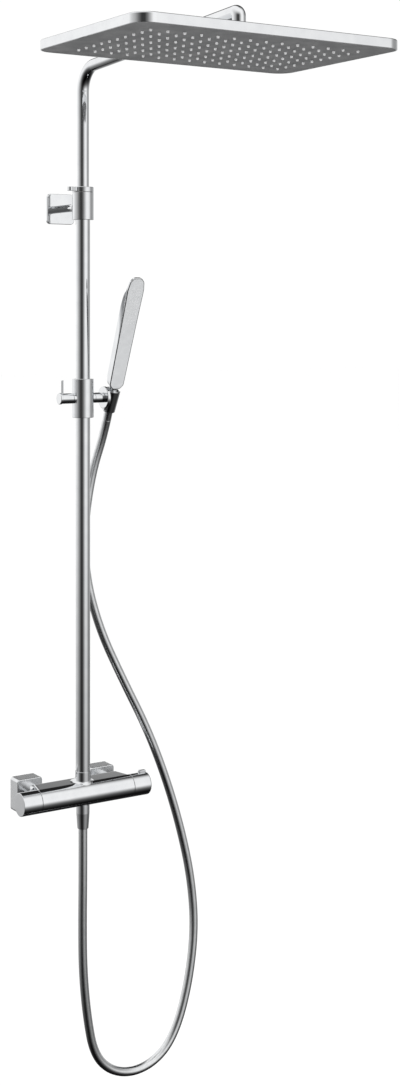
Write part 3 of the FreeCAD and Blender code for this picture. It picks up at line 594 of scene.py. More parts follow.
def worked_out(item: bpy.types.Object) -> bpy.types.Mesh:
    """New mesh of an object after its modifiers, or of a curve's points.

    Args:
        item: The object.

    Returns:
        The mesh.
    """
    bpy.context.view_layer.update()
    return bpy.data.meshes.new_from_object(
        item.evaluated_get(bpy.context.evaluated_depsgraph_get()))


@dataclass
class Maker:
    """Puts finished pieces in the scene and hands them to their bodies.

    Args:
        made: Names of the pieces made so far.
    """

    made: list[str] = field(default_factory=list)

    def piece(self, name: str, skins: Sequence[Skin], body: Optional[Body],
              replaces: Sequence[str], finish: Finish = CHROME, slot: Slot = Slot.CHROME,
              cuts: Sequence[Skin] = ()) -> bpy.types.Object:
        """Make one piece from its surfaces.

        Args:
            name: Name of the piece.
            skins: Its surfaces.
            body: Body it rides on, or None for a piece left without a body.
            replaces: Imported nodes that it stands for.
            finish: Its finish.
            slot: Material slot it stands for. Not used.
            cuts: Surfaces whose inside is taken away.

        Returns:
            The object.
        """
        mesh = make_mesh(name, skins)
        if cuts:
            mesh = self.cut(mesh, make_mesh("cutter", cuts))
        mesh.polygons.foreach_set("use_smooth", np.ones(len(mesh.polygons), bool))
        mesh.set_sharp_from_angle(angle=SHARP_ANGLE)
        mesh.materials.clear()
        mesh.materials.append(finish.material())
        made = linked(name, mesh)
        if body is not None:
            even = made.modifiers.new("EvenShading", "WEIGHTED_NORMAL")
            even.keep_sharp = True
            even.weight = 100
            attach(made, body.value)
        if replaces:
            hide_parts(*replaces)
        self.made.append(name)
        LOG.info("%s: %d faces, %s", name, len(mesh.polygons), finish.name)
        return made

    def cut(self, mesh: bpy.types.Mesh, cutter: bpy.types.Mesh) -> bpy.types.Mesh:
        """Mesh with the inside of another taken away.

        Args:
            mesh: The mesh.
            cutter: What is taken away.

        Returns:
            The cut mesh.
        """
        whole, tool = linked("whole", mesh), linked("tool", cutter)
        take = whole.modifiers.new("Cut", "BOOLEAN")
        take.object = tool
        take.operation = "DIFFERENCE"
        take.solver = "EXACT"
        result = worked_out(whole)
        for item in (whole, tool):
            bpy.data.objects.remove(item)
        return result


RISER_Y = -0.092
RISER = (0.0, RISER_Y, 0.0)


# ---- Sub-assemblies ----------------------------------------------------------

@dataclass
class Riser:
    """Fixed lower tube, and the upper tube bent over into the arm."""

    maker: Maker
    lower_radius: float = 0.013
    lower_bore: float = 0.01205
    lower_start: float = 0.034
    lower_end: float = 1.088
    upper_radius: float = 0.011
    upper_bore: float = 0.0095
    upper_start: float = 0.938
    arm_height: float = 1.3195
    reach: float = 0.507
    slope: float = 3.13
    bend: float = 0.045
    end_bend: float = 0.016
    end_drop: float = 0.0204

    def build(self) -> None:
        """Make the tubes and the ball at the arm's end."""
        lower = pipe(self.lower_radius, self.lower_bore, self.lower_start, self.lower_end, RISER,
                     Axis.Z, steps=128)
        self.maker.piece("lower_tube", [lower], Body.VALVE, ["riser_lower_tube"])
        upper = swept(self.middle_line(), self.upper_radius, X_SIDE, self.upper_bore, 128)
        self.maker.piece("upper_tube_and_arm", [upper], Body.ARM, ["upper_tube_arm"])
        self.ball()

    def foot(self) -> float:
        """Height of the arm's downturned end."""
        rise = self.reach * math.tan(math.radians(self.slope))
        return self.arm_height + rise - self.end_drop

    def middle_line(self) -> Array:
        """Middle line of the bent tube: straight runs joined by arcs.

        Returns:
            Its points.
        """
        end = self.reach - RISER_Y
        corners = [(-RISER_Y, self.upper_start), (-RISER_Y, self.arm_height),
                   (end, self.foot() + self.end_drop), (end, self.foot())]
        bent = soften(corners, [0.0, self.bend, self.end_bend, 0.0], steps=24)
        return np.column_stack([np.zeros(len(bent)), -bent[:, 0], bent[:, 1]])

    def ball(self) -> None:
        """Collar, stem and ball under the arm's end, closed at both ends."""
        outline = soften([(0.001, 0.0), (0.001, 0.0092), (0.0, 0.0092), (0.0, 0.0125),
                          (-0.003, 0.0125), (-0.003, 0.0045), (-0.0068, 0.0045)],
                         [0, 0.0001, 0.0001, 0.0005, 0.0005, 0.0004, 0])
        angle = np.linspace(math.radians(37), math.pi, 24)
        ball = np.column_stack([-0.0125 + 0.0075 * np.cos(angle), 0.0075 * np.sin(angle)])
        whole = np.concatenate([outline, ball])
        self.maker.piece("arm_ball", [turned(whole, (0.0, RISER_Y - self.reach, self.foot()),
                                             Axis.Z)], Body.ARM, ["ball_stem"])


@dataclass
class WallBracket:
    """Square cover plate, distance rod, sleeve and clamp at the top of the lower tube."""

    maker: Maker
    height: float = 1.070
    half_plate: float = 0.028
    plate_depth: float = 0.007
    rod_radius: float = 0.007
    sleeve_radius: float = 0.0195
    sleeve_start: float = 1.046
    sleeve_end: float = 1.096
    clamp_end: float = 1.1056

    def build(self) -> None:
        """Make plate, rod, lock ring, sleeve and clamp ring."""
        self.plate()
        self.rod()
        self.sleeve()
        self.clamp()

    def plate(self) -> None:
        """Hollow square cover with softened edges and a hole for the rod."""
        deep, wall = self.plate_depth, 0.0015
        rows = soften([(0.004, deep - wall), (wall, deep - wall), (wall, 0.0), (0.0, 0.0),
                       (0.0, deep), (0.004, deep)], [0, 0.0004, 0.0002, 0.0003, 0.0011, 0])
        cover = slab(box_corners(self.half_plate, self.half_plate), 0.008, rows,
                     (0.0, 0.0, self.height), X_SIDE, Z_SIDE)
        hole = rod(self.rod_radius + 0.0001, 0.001, 0.012, (0.0, 0.0, self.height), Axis.OUT)
        self.maker.piece("wall_cover", [cover], Body.VALVE, ["bracket_plate"], cuts=[hole])

    def rod(self) -> None:
        """Distance rod with its lock ring."""
        centre = (0.0, 0.0, self.height)
        bar = pipe(self.rod_radius, 0.004, 0.006, 0.0755, centre, Axis.OUT)
        self.maker.piece("distance_rod", [bar], Body.VALVE, ["bracket_rod"])
        ring = pipe(0.0092, self.rod_radius, 0.060, 0.066, centre, Axis.OUT, 0.0008)
        self.maker.piece("lock_ring", [ring], Body.VALVE, ["bracket_rod_collar"])

    def sleeve(self) -> None:
        """Sleeve with its socket boss towards the wall."""
        low, high, inner = self.sleeve_start, self.sleeve_end, 0.01302
        outline = soften([(low, inner), (low, self.sleeve_radius), (high, self.sleeve_radius),
                          (high, 0.017), (high - 0.0065, 0.017), (high - 0.0065, inner)],
                         [0.0002, 0.0009, 0.0004, 0.0002, 0.0002, 0.0002], closed=True)
        boss = pipe(0.0085, 0.00705, 0.015, 0.0215, (0.0, RISER_Y, self.height), Axis.Y)
        self.maker.piece("bracket_sleeve_skin", [turned(outline, RISER, Axis.Z, ring=True), boss],
                         Body.VALVE, ["bracket_sleeve"])

    def clamp(self) -> None:
        """Clamp ring with its flat finger tab."""
        low, high = self.sleeve_end + 0.0004, self.clamp_end
        outline = soften([(low, 0.01505), (low, self.sleeve_radius), (high, self.sleeve_radius),
                          (high, 0.0115), (high - 0.0012, 0.0115), (high - 0.0016, 0.0142)],
                         [0.0002, 0.0004, 0.0010, 0.0003, 0.0001, 0.0001], closed=True)
        ring = turned(outline, RISER, Axis.Z, ring=True)
        turn = math.radians(12)
        along = np.array((math.cos(turn), math.sin(turn), 0.0))
        over = np.array((-math.sin(turn), math.cos(turn), 0.0))
        deep = high - low - 0.0018
        rows = soften([(0.003, 0.0), (0.0, 0.0), (0.0, deep), (0.003, deep)],
                      [0, 0.0006, 0.0006, 0])
        tab = slab(box_corners(0.00925, 0.0055, -0.02525), [0.004, 0.0005, 0.0005, 0.004], rows,
                   (0.0, RISER_Y, low + 0.0012), along, over)
        self.maker.piece("clamp_ring_skin", [ring, tab], Body.CLAMP, ["clamp_ring"])


@dataclass
class Valve:
    """Thermostatic bar valve with its inlets, knobs and hose outlet."""

    maker: Maker
    bar_y: float = -0.098
    bar_z: float = 0.010
    bar_radius: float = 0.0206
    half_body: float = 0.0936
    inlet_x: float = 0.075
    knob_start: float = 0.0941
    knob_end: float = 0.1301
    neck_radius: float = 0.014
    neck_top: float = 0.050
    flare_radius: float = 0.004
    flare_extra: float = 0.008
    cover_depth: float = 0.029

    def build(self) -> None:
        """Make body, inlets, knobs and outlet nut."""
        self.body()
        self.inlets()
        self.knobs()
        self.outlet_nut()

    def body(self) -> None:
        """Bar, rear housing, neck with its flare, inlet tails and outlet."""
        bar = pipe(self.bar_radius, 0.016, -self.half_body, self.half_body,
                   (0.0, self.bar_y, self.bar_z), Axis.X, 0.00045, 160)
        outlet = pipe(0.010475, 0.005, -0.024, self.bar_z - 0.01, RISER, Axis.Z)
        skins = [bar, self.housing(), self.flare(), outlet]
        for side in (-self.inlet_x, self.inlet_x):
            outline = soften([(0.044, 0.006), (0.044, 0.0102), (0.046, 0.0102), (0.046, 0.008),
                              (0.066, 0.008), (0.066, 0.006)], 0.0003, closed=True)
            skins.append(turned(outline, (side, 0.0, self.bar_z), Axis.OUT, ring=True))
        self.maker.piece("valve_casting", skins, Body.VALVE, ["valve_body"])

    def housing(self) -> Skin:
        """Housing behind the bar: a plan narrowing to the back, with rounded edges.

        Returns:
            The surface.
        """
        back, half = RISER_Y + 0.030, self.inlet_x + 0.009
        low, high = self.bar_z - 0.017, self.bar_z + self.bar_radius
        plan = [(-self.half_body, self.bar_y - 0.003), (self.half_body, self.bar_y - 0.003),
                (half, back), (-half, back)]
        rows = soften([(0.005, low), (0.0, low), (0.0, high), (0.005, high)],
                      [0, 0.003, 0.003, 0], steps=6)
        return slab(plan, [0.0005, 0.0005, 0.003, 0.003], rows, (0.0, 0.0, 0.0), X_SIDE, Y_SIDE)

    def flare(self) -> Skin:
        """Neck that spreads over the bar.

        Its radius falls from the foot's to the neck's as a quarter circle while its
        height climbs by the same circle from the surface below: the bar in front of
        the bar's axis and the housing's flat top behind it. The circle grows by half
        of (1 + sin t) of the extra width from the front to the back.

        Returns:
            The surface.
        """
        angle = np.linspace(0.0, 2 * math.pi, 128, endpoint=False)
        turn = np.linspace(0.0, math.pi / 2, 13)
        spread_by = self.flare_radius + self.flare_extra * (1 + np.sin(angle)) / 2
        radius = self.neck_radius + spread_by * (1 - np.sin(turn))[:, None]
        x = radius * np.cos(angle)
        y = RISER_Y + radius * np.sin(angle)
        ahead = np.minimum(y - self.bar_y, 0.0)
        below = self.bar_z + np.sqrt(self.bar_radius ** 2 - ahead ** 2)
        height = below - 0.00003 + spread_by * (1 - np.cos(turn))[:, None]
        spread = np.stack([x, y, height], axis=-1)
        buried = spread[:1] - np.array((0.0, 0.0, 0.004))
        collar = soften([(self.neck_top - 0.004, self.neck_radius),
                         (self.neck_top, self.neck_radius), (self.neck_top, 0.01305),
                         (self.bar_z + 0.012, 0.01305)], [0, 0.0006, 0.0003, 0])
        neck = np.stack([collar[:, 1][:, None] * np.cos(angle),
                         RISER_Y + collar[:, 1][:, None] * np.sin(angle),
                         np.broadcast_to(collar[:, 0][:, None], (len(collar), 128))], axis=-1)
        return woven(np.concatenate([buried, spread, neck]), looped=True)

    def inlets(self) -> None:
        """Square covers at the wall and the round coupling nuts in front of them."""
        outline = soften([(0.026, 0.01055), (0.026, 0.014), (0.0535, 0.014), (0.054, 0.0082),
                          (0.0462, 0.0082), (0.0462, 0.01055)],
                         [0.0003, 0.0006, 0.0016, 0.0002, 0.0002, 0.0002], closed=True)
        for name, side in (("left", -self.inlet_x), ("right", self.inlet_x)):
            self.maker.piece(f"inlet_cover_{name}", [self.cover(side)], Body.VALVE,
                             [f"escutcheon_{name}"], COVER_CHROME)
            nut = turned(outline, (side, 0.0, self.bar_z), Axis.OUT, ring=True)
            self.maker.piece(f"coupling_nut_{name}", [nut], Body.VALVE, [f"union_nut_{name}"])

    def cover(self, side: float) -> Skin:
        """Hollow square cover whose front closes down to a round hole for the nut.

        Args:
            side: Place of the inlet along X.

        Returns:
            The surface.
        """
        deep, wall = self.cover_depth, 0.002
        edge = soften([(0.0, 0.0), (0.0, deep), (0.01, deep)], [0.0, 0.0016, 0.0], steps=6)[:-1]
        corners = box_corners(0.025, 0.030, 0.0, 0.002)
        outer = np.stack([soften(corners, 0.005, 8, True, inset) for inset in edge[:, 0]])
        inner = np.stack([soften(corners, 0.005, 8, True, wall)] * 2)
        angle = np.arctan2(outer[0, :, 1] - self.bar_z, outer[0, :, 0])
        hole = 0.01437 * np.stack([np.cos(angle), np.sin(angle)], axis=-1) + (0.0, self.bar_z)
        flat = np.concatenate([outer, hole[None], hole[None], inner])
        depth = np.concatenate([edge[:, 1], [deep, deep - wall, deep - wall, 0.0]])
        rows = np.stack([side + flat[..., 0], -np.broadcast_to(depth[:, None], flat.shape[:2]),
                         flat[..., 1]], axis=-1)
        return woven(rows, looped=True)

    def knobs(self) -> None:
        """Temperature knob with its stop button, and flow knob."""
        centre = (0.0, self.bar_y, self.bar_z)
        start, end = self.knob_start, self.knob_end
        corners = [(0.119, 0.0), (0.119, 0.005), (0.105, 0.005), (0.105, 0.009),
                   (end - 0.003, 0.009), (end - 0.003, 0.017), (start, 0.017),
                   (start, self.bar_radius), (end, self.bar_radius), (end, 0.0)]
        hollow = [0, 0.0003, 0.0003, 0.0003, 0.0003, 0.0003, 0.0003, 0.0005]
        slot = slab(box_corners(0.0071, 0.0041, 0.1197, self.bar_y), 0.0022,
                    np.array([(0.0, self.bar_z + 0.010), (0.0, self.bar_z + 0.03)]),
                    (0.0, 0.0, 0.0), X_SIDE, Y_SIDE)
        for name, axis, edge, body in (("temperature", Axis.X, 0.003, Body.TEMPERATURE),
                                       ("flow", Axis.LEFT, 0.0007, Body.FLOW)):
            grub = rod(0.002, -self.bar_radius - 0.001, -0.006,
                       (0.112 * axis.value[0], self.bar_y, self.bar_z), Axis.Z, steps=32)
            outline = soften(corners, [*hollow, edge, 0], steps=8)
            self.maker.piece(f"{name}_knob_skin", [turned(outline, centre, axis, 160)], body,
                             [f"{name}_knob"], cuts=[grub, slot] if axis is Axis.X else [grub])
        top = self.bar_z + self.bar_radius + 0.0044
        rows = soften([(0.0026, 0.024), (0.0, 0.024), (0.0, top), (0.0026, top)],
                      [0, 0.0002, 0.0013, 0], steps=6)
        button = slab(box_corners(0.0068, 0.0038, 0.1197, self.bar_y), 0.002, rows,
                      (0.0, 0.0, 0.0), X_SIDE, Y_SIDE)
        foot_rows = soften([(0.002, 0.0238), (0.0, 0.0238), (0.0, 0.0252), (0.002, 0.0252)],
                           [0, 0.0001, 0.0001, 0])
        foot = slab(box_corners(0.0074, 0.005, 0.1191, self.bar_y), 0.001, foot_rows,
                    (0.0, 0.0, 0.0), X_SIDE, Y_SIDE)
        self.maker.piece("stop_button", [button, foot], Body.STOP, ["safety_button"])
        self.spring()

    def spring(self) -> None:
        """Coil spring under the stop button, a helix from its foot up to the button."""
        turns, coil_radius, wire_radius = 2.5, 0.0022, 0.0003
        foot = (0.1152, self.bar_y, self.bar_z + 0.0097)
        head = (0.1152, self.bar_y, self.bar_z + 0.0133)
        part = np.linspace(0.0, 1.0, 81)
        angle = 2 * turns * math.pi * part
        line = np.column_stack([foot[0] + coil_radius * np.cos(angle),
                                foot[1] + coil_radius * np.sin(angle),
                                foot[2] + (head[2] - foot[2]) * part])
        wire = swept(line, wire_radius, Z_SIDE, steps=12, edge=0.0001)
        coil = self.maker.piece("stop_spring", [wire], None, ["button_spring"], STEEL, Slot.STEEL)
        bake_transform(coil)

    def outlet_nut(self) -> None:
        """Long tapered nut that carries the hose under the valve."""
        top = self.bar_z - self.bar_radius - 0.0006
        outline = soften([(top, 0.01049), (top, 0.012), (-0.026, 0.012), (-0.054, 0.0101),
                          (-0.054, 0.005), (-0.0262, 0.005), (-0.026, 0.01049)],
                         [0.0003, 0.0008, 0.004, 0.0011, 0.0003, 0.0002, 0.0002], closed=True)
        self.maker.piece("outlet_nut_skin", [turned(outline, RISER, Axis.Z, ring=True)],
                         Body.VALVE, ["hose_outlet_nut"])


@dataclass
class RainHead:
    """Flat rectangular rain head on a ball joint."""

    maker: Maker
    half_width: float = 0.243
    half_depth: float = 0.165
    corner: float = 0.030
    centre_y: float = -0.542
    joint_y: float = -0.599
    rim: float = 1.293424
    height: float = 0.016
    columns: int = 14
    rows: int = 10
    pitch_x: float = 0.0294
    pitch_y: float = 0.0246

    def build(self) -> None:
        """Make shell, joint collar and nozzle mat."""
        ball = self.rim + self.height + 0.0049
        self.shell(ball)
        outline = soften([(-0.003, 0.014), (-0.003, 0.017), (0.001, 0.017), (0.005, 0.0115),
                          (0.005, 0.0088), (0.0, 0.01015), (0.0, 0.014)],
                         [0.0002, 0.0004, 0.0014, 0.0008, 0.0004, 0.0002, 0.0002], closed=True)
        collar = turned(outline, (0.0, self.joint_y, ball), Axis.Z, ring=True)
        self.maker.piece("joint_collar", [collar], Body.HEAD, ["head_socket_collar"])
        self.nozzles()

    def shell(self, ball: float) -> None:
        """Pressed shell: thin upright rim, rounded top edge, flat top and joint seat.

        Args:
            ball: Height of the ball's centre.
        """
        high, wall = self.height, 0.0016
        rows = soften([(0.006, high - wall), (wall, high - wall), (wall, 0.0), (0.0, 0.0),
                       (0.0, high), (0.006, high)], [0, 0.001, 0.0003, 0.0005, 0.0026, 0], steps=6)
        shell = slab(box_corners(self.half_width, self.half_depth), self.corner, rows,
                     (0.0, self.centre_y, self.rim), X_SIDE, Y_SIDE, steps=16)
        joint = (0.0, self.joint_y, ball)
        cup = rod(0.0104, -0.010, 0.004, joint, Axis.Z)
        self.maker.piece("head_shell_skin", [shell], Body.HEAD, ["head_shell"], cuts=[cup])
        outline = soften([(-0.012, 0.0102), (-0.012, 0.014), (-0.008, 0.014), (-0.008, 0.026),
                          (-0.0034, 0.026), (-0.0034, 0.014), (-0.0002, 0.014),
                          (-0.0002, 0.0102)],
                         [0.0002, 0.0002, 0.0002, 0.0006, 0.0006, 0.0002, 0.0002, 0.0002],
                         closed=True)
        self.maker.piece("joint_seat", [turned(outline, joint, Axis.Z, ring=True)], Body.HEAD,
                         [])

    def nozzles(self) -> None:
        """Soft mat and its nozzles, one turned nozzle being repeated on a regular grid."""
        low = self.rim - 0.0026
        outline = soften([(low + 0.0012, 0.0), (low + 0.0012, 0.0006), (low, 0.0008),
                          (low, 0.0019), (low + 0.0052, 0.0026), (low + 0.0052, 0.0)],
                         [0, 0, 0.0002, 0.0006, 0, 0], steps=2)
        x = (np.arange(self.columns) - (self.columns - 1) / 2) * self.pitch_x
        y = (np.arange(self.rows) - (self.rows - 1) / 2) * self.pitch_y + self.centre_y
        shifts = np.stack(np.meshgrid(x, y, [0.0], indexing="ij"), axis=-1).reshape(-1, 3)
        rows = soften([(0.003, 0.0), (0.0, 0.0), (0.0, 0.002), (0.003, 0.002)],
                      [0, 0.0003, 0.0003, 0])
        mat = slab(box_corners(self.half_width - 0.022, self.half_depth - 0.022), 0.008, rows,
                   (0.0, self.centre_y, self.rim + 0.0024), X_SIDE, Y_SIDE)
        grid = copies(turned(outline, (0.0, 0.0, 0.0), Axis.Z, 14), shifts)
        self.maker.piece("nozzle_mat", [grid, mat], Body.HEAD, ["head_nozzle_mat"], SILICONE,
                         Slot.SILICONE)


@dataclass
class Slider:
    """Sliding sleeve with lock lever on the left and pivot rod on the right."""

    maker: Maker
    height: float = 0.724
    half_sleeve: float = 0.035
    sleeve_radius: float = 0.0195
    rod_radius: float = 0.0093
    lever_end: float = 0.049

    def build(self) -> None:
        """Make sleeve, lever, pin and pivot rod."""
        centre = (0.0, RISER_Y, self.height)
        sleeve = pipe(self.sleeve_radius, 0.01502, -self.half_sleeve, self.half_sleeve, centre,
                      Axis.Z, 0.0007, 128)
        bosses = [pipe(self.rod_radius, 0.0041, 0.0165, 0.022, centre, axis)
                  for axis in (Axis.X, Axis.LEFT)]
        self.maker.piece("slider_sleeve_skin", [sleeve, *bosses], Body.SLIDER, ["slider_sleeve"])
        self.lever(centre)
        outline = soften([(0.0154, 0.0), (0.0154, 0.004), (0.0222, 0.004),
                          (0.0222, self.rod_radius), (0.0406, self.rod_radius), (0.0406, 0.005),
                          (0.045, 0.005), (0.045, 0.0)],
                         [0, 0.0002, 0.0002, 0.0004, 0.0006, 0.0002, 0.0003, 0])
        self.maker.piece("pivot_rod_skin", [turned(outline, centre, Axis.X)], Body.SLIDER,
                         ["pivot_rod"])

    def lever(self, centre: Sequence[float]) -> None:
        """Turning lever with an end collar and an upright finger pin.

        Args:
            centre: Middle of the slider.
        """
        end, thick = self.lever_end, self.rod_radius
        outline = soften([(0.038, 0.0), (0.038, 0.00405), (0.0224, 0.00405), (0.0224, thick),
                          (end - 0.0044, thick), (end - 0.0040, thick + 0.001),
                          (end, thick + 0.001), (end, 0.0)],
                         [0, 0.0002, 0.0002, 0.0004, 0.0002, 0.0003, 0.0011, 0], steps=6)
        self.maker.piece("lock_lever_skin", [turned(outline, centre, Axis.LEFT)], Body.LOCK,
                         ["lock_lever"])
        pin = soften([(0.005, 0.0), (0.005, 0.0022), (0.033, 0.0022), (0.033, 0.0)],
                     [0, 0.0001, 0.0011, 0], steps=6)
        foot = (-end + 0.007, RISER_Y, self.height)
        self.maker.piece("lock_pin_skin", [turned(pin, foot, Axis.Z, 48)], Body.LOCK, ["lock_pin"])


HOLDER_PLACE = Place((0.059, RISER_Y, 0.724), 22.0)


@dataclass
class Holder:
    """Conical fork, open at one side, with a round knuckle on the pivot."""

    maker: Maker
    place: Place = HOLDER_PLACE
    low: float = -0.027
    high: float = 0.015
    half_slot: float = 0.0086

    def build(self) -> None:
        """Make the fork with its web and knuckle."""
        disc = pipe(0.020, 0.00505, -0.018, -0.012, (0.0, 0.0, 0.0), Axis.X, 0.0011, 128)
        rows = soften([(0.003, -0.015), (0.0, -0.015), (0.0, -0.0096), (0.003, -0.0096)],
                      [0, 0.0002, 0.0002, 0])
        web = slab(box_corners(0.0076, 0.0172, 0.0, -0.0055), 0.003, rows, (0.0, 0.0, 0.0),
                   Y_SIDE, Z_SIDE)
        self.maker.piece("holder_fork", [self.place.put(skin) for skin in (self.fork(), web, disc)],
                         Body.HOLDER, ["holder_cone"])

    def fork(self) -> Skin:
        """Cone wall swept round from one side of the slot to the other.

        At each radius the slot's edge stands at the angle whose sine is half the slot
        over the radius, so the slot's sides are flat and parallel.

        Returns:
            The surface in the holder's own axes.
        """
        outline = soften([(self.low, 0.0098), (self.low, 0.0119), (self.high, 0.0142),
                          (self.high, 0.0118)], 0.0006, closed=True)
        start = np.arcsin(self.half_slot / outline[:, 1])
        angle = start + np.linspace(0.0, 1.0, 97)[:, None] * (2 * math.pi - 2 * start)
        rows = np.stack([outline[:, 1] * np.cos(angle), outline[:, 1] * np.sin(angle),
                         np.broadcast_to(outline[:, 0], angle.shape)], axis=-1)
        return woven(rows, capped=True)


@dataclass
class Handset:
    """Slim hand shower: broad front slab, deeper back, spray face and hose nut."""

    maker: Maker
    place: Place = HOLDER_PLACE
    start: float = 0.020
    end: float = 0.238
    top_half: float = 0.017
    low_half: float = 0.0145
    front: float = 0.010
    slab_back: float = 0.005

    def build(self) -> None:
        """Make grip, face, nozzles and nut."""
        self.grip()
        rows = soften([(0.005, 0.0086), (0.0016, 0.0086), (0.0016, self.front + 0.0001),
                       (0.005, self.front + 0.0001)], [0, 0.0002, 0.0003, 0])
        face = slab(*self.outline(), rows, (0.0, 0.0, 0.0), X_SIDE, Z_SIDE)
        self.maker.piece("spray_face", [self.place.put(face)], Body.HANDSET, ["handset_face"],
                         FACE, Slot.FACE)
        self.nozzles()
        nut = soften([(-0.027, 0.005), (-0.027, 0.0093), (0.015, 0.01135), (0.015, 0.00805),
                      (0.002, 0.00805), (0.002, 0.005)],
                     [0.0003, 0.0007, 0.0009, 0.0003, 0.0002, 0.0002], closed=True)
        cone = turned(nut, (0.0, 0.0, 0.0), Axis.Z, ring=True)
        self.maker.piece("cone_nut", [self.place.put(cone)], Body.HANDSET, ["hose_cone_nut"])

    def outline(self) -> tuple[list[tuple[float, float]], list[float]]:
        """Front outline, broad at the top, and the radius at each of its corners.

        Returns:
            Corners, anticlockwise, and radii.
        """
        low, high, narrow, wide = self.start, self.end, self.low_half, self.top_half
        right = [(narrow - 0.007, low), (narrow, low + 0.008), (narrow + 0.0015, high - 0.075),
                 (wide, high - 0.024), (wide - 0.0025, high - 0.009),
                 (wide - 0.009, high - 0.0012)]
        radii = [0.006, 0.010, 0.120, 0.030, 0.010, 0.012]
        left = [(-x, z) for x, z in right[::-1]]
        return right + left, radii + radii[::-1]

    def grip(self) -> None:
        """Front slab, the back that starts below its top, and the round neck."""
        rows = soften([(0.003, self.slab_back), (0.0, self.slab_back), (0.0, self.front),
                       (0.003, self.front)], [0, 0.0009, 0.0012, 0])
        front = slab(*self.outline(), rows, (0.0, 0.0, 0.0), X_SIDE, Z_SIDE)
        neck = rod(0.008, 0.004, self.start + 0.010, (0.0, 0.0, 0.0), Axis.Z, 0.0005)
        self.maker.piece("handset_grip", [self.place.put(skin) for skin in
                                          (front, self.back(), neck)],
                         Body.HANDSET, ["handset_body"])

    def back(self) -> Skin:
        """Back of the grip: rounded sections stacked along it.

        A section is as wide as the outline less a small step and as deep as a softened
        side view; its two back corners are quarter circles.

        Returns:
            The surface in the handset's own axes.
        """
        corners, radii = self.outline()
        edge = soften(corners, radii, 12, True)
        right = edge[edge[:, 0] > 0]
        high = self.end - 0.021
        side = soften([(self.start + 0.006, 0.006), (self.start + 0.022, 0.010),
                       (self.end - 0.062, 0.010), (self.end - 0.036, 0.006),
                       (high, -self.slab_back)], [0, 0.02, 0.03, 0.05, 0], steps=8)
        part = np.linspace(0.0, 1.0, 60)
        s = side[0, 0] + (high - side[0, 0]) * part
        half = np.interp(s, right[:, 1], right[:, 0]) - 0.0015
        deep = np.interp(s, side[:, 0], side[:, 1])
        front = -self.slab_back - 0.0012
        round_ = np.minimum(0.0032, np.maximum(deep - front - 0.0002, 0.0002))
        angle = np.linspace(0.0, math.pi / 2, 9)
        arc_x, arc_y = np.cos(angle), np.sin(angle)
        x = (half - round_)[:, None] + round_[:, None] * arc_x
        y = (deep - round_)[:, None] + round_[:, None] * arc_y
        level = np.full((len(s), 1), front)
        across = np.concatenate([half[:, None], x, -x[:, ::-1], -half[:, None]], axis=1)
        behind = np.concatenate([level, y, y[:, ::-1], level], axis=1)
        rows = np.stack([across, behind, np.broadcast_to(s[:, None], across.shape)], axis=-1)
        return woven(rows, capped=True)

    def nozzles(self) -> None:
        """Rows of small nozzles: one turned outline, repeated by shifting."""
        outline = soften([(self.front - 0.0009, 0.0), (self.front - 0.0009, 0.00088),
                          (self.front + 0.0004, 0.0008), (self.front + 0.0004, 0.0004),
                          (self.front, 0.0)], [0, 0, 0.0002, 0, 0], steps=2)
        x = (np.arange(4) - 1.5) * 0.0054
        z = self.end - 0.022 - np.arange(12) * 0.006
        shifts = np.stack(np.meshgrid(x, [0.0], z, indexing="ij"), axis=-1).reshape(-1, 3)
        grid = copies(turned(outline, (0.0, 0.0, 0.0), Axis.OUT, 10), shifts)
        self.maker.piece("spray_nozzles", [self.place.put(grid)], Body.HANDSET,
                         ["handset_nozzles"], SILICONE, Slot.SILICONE)


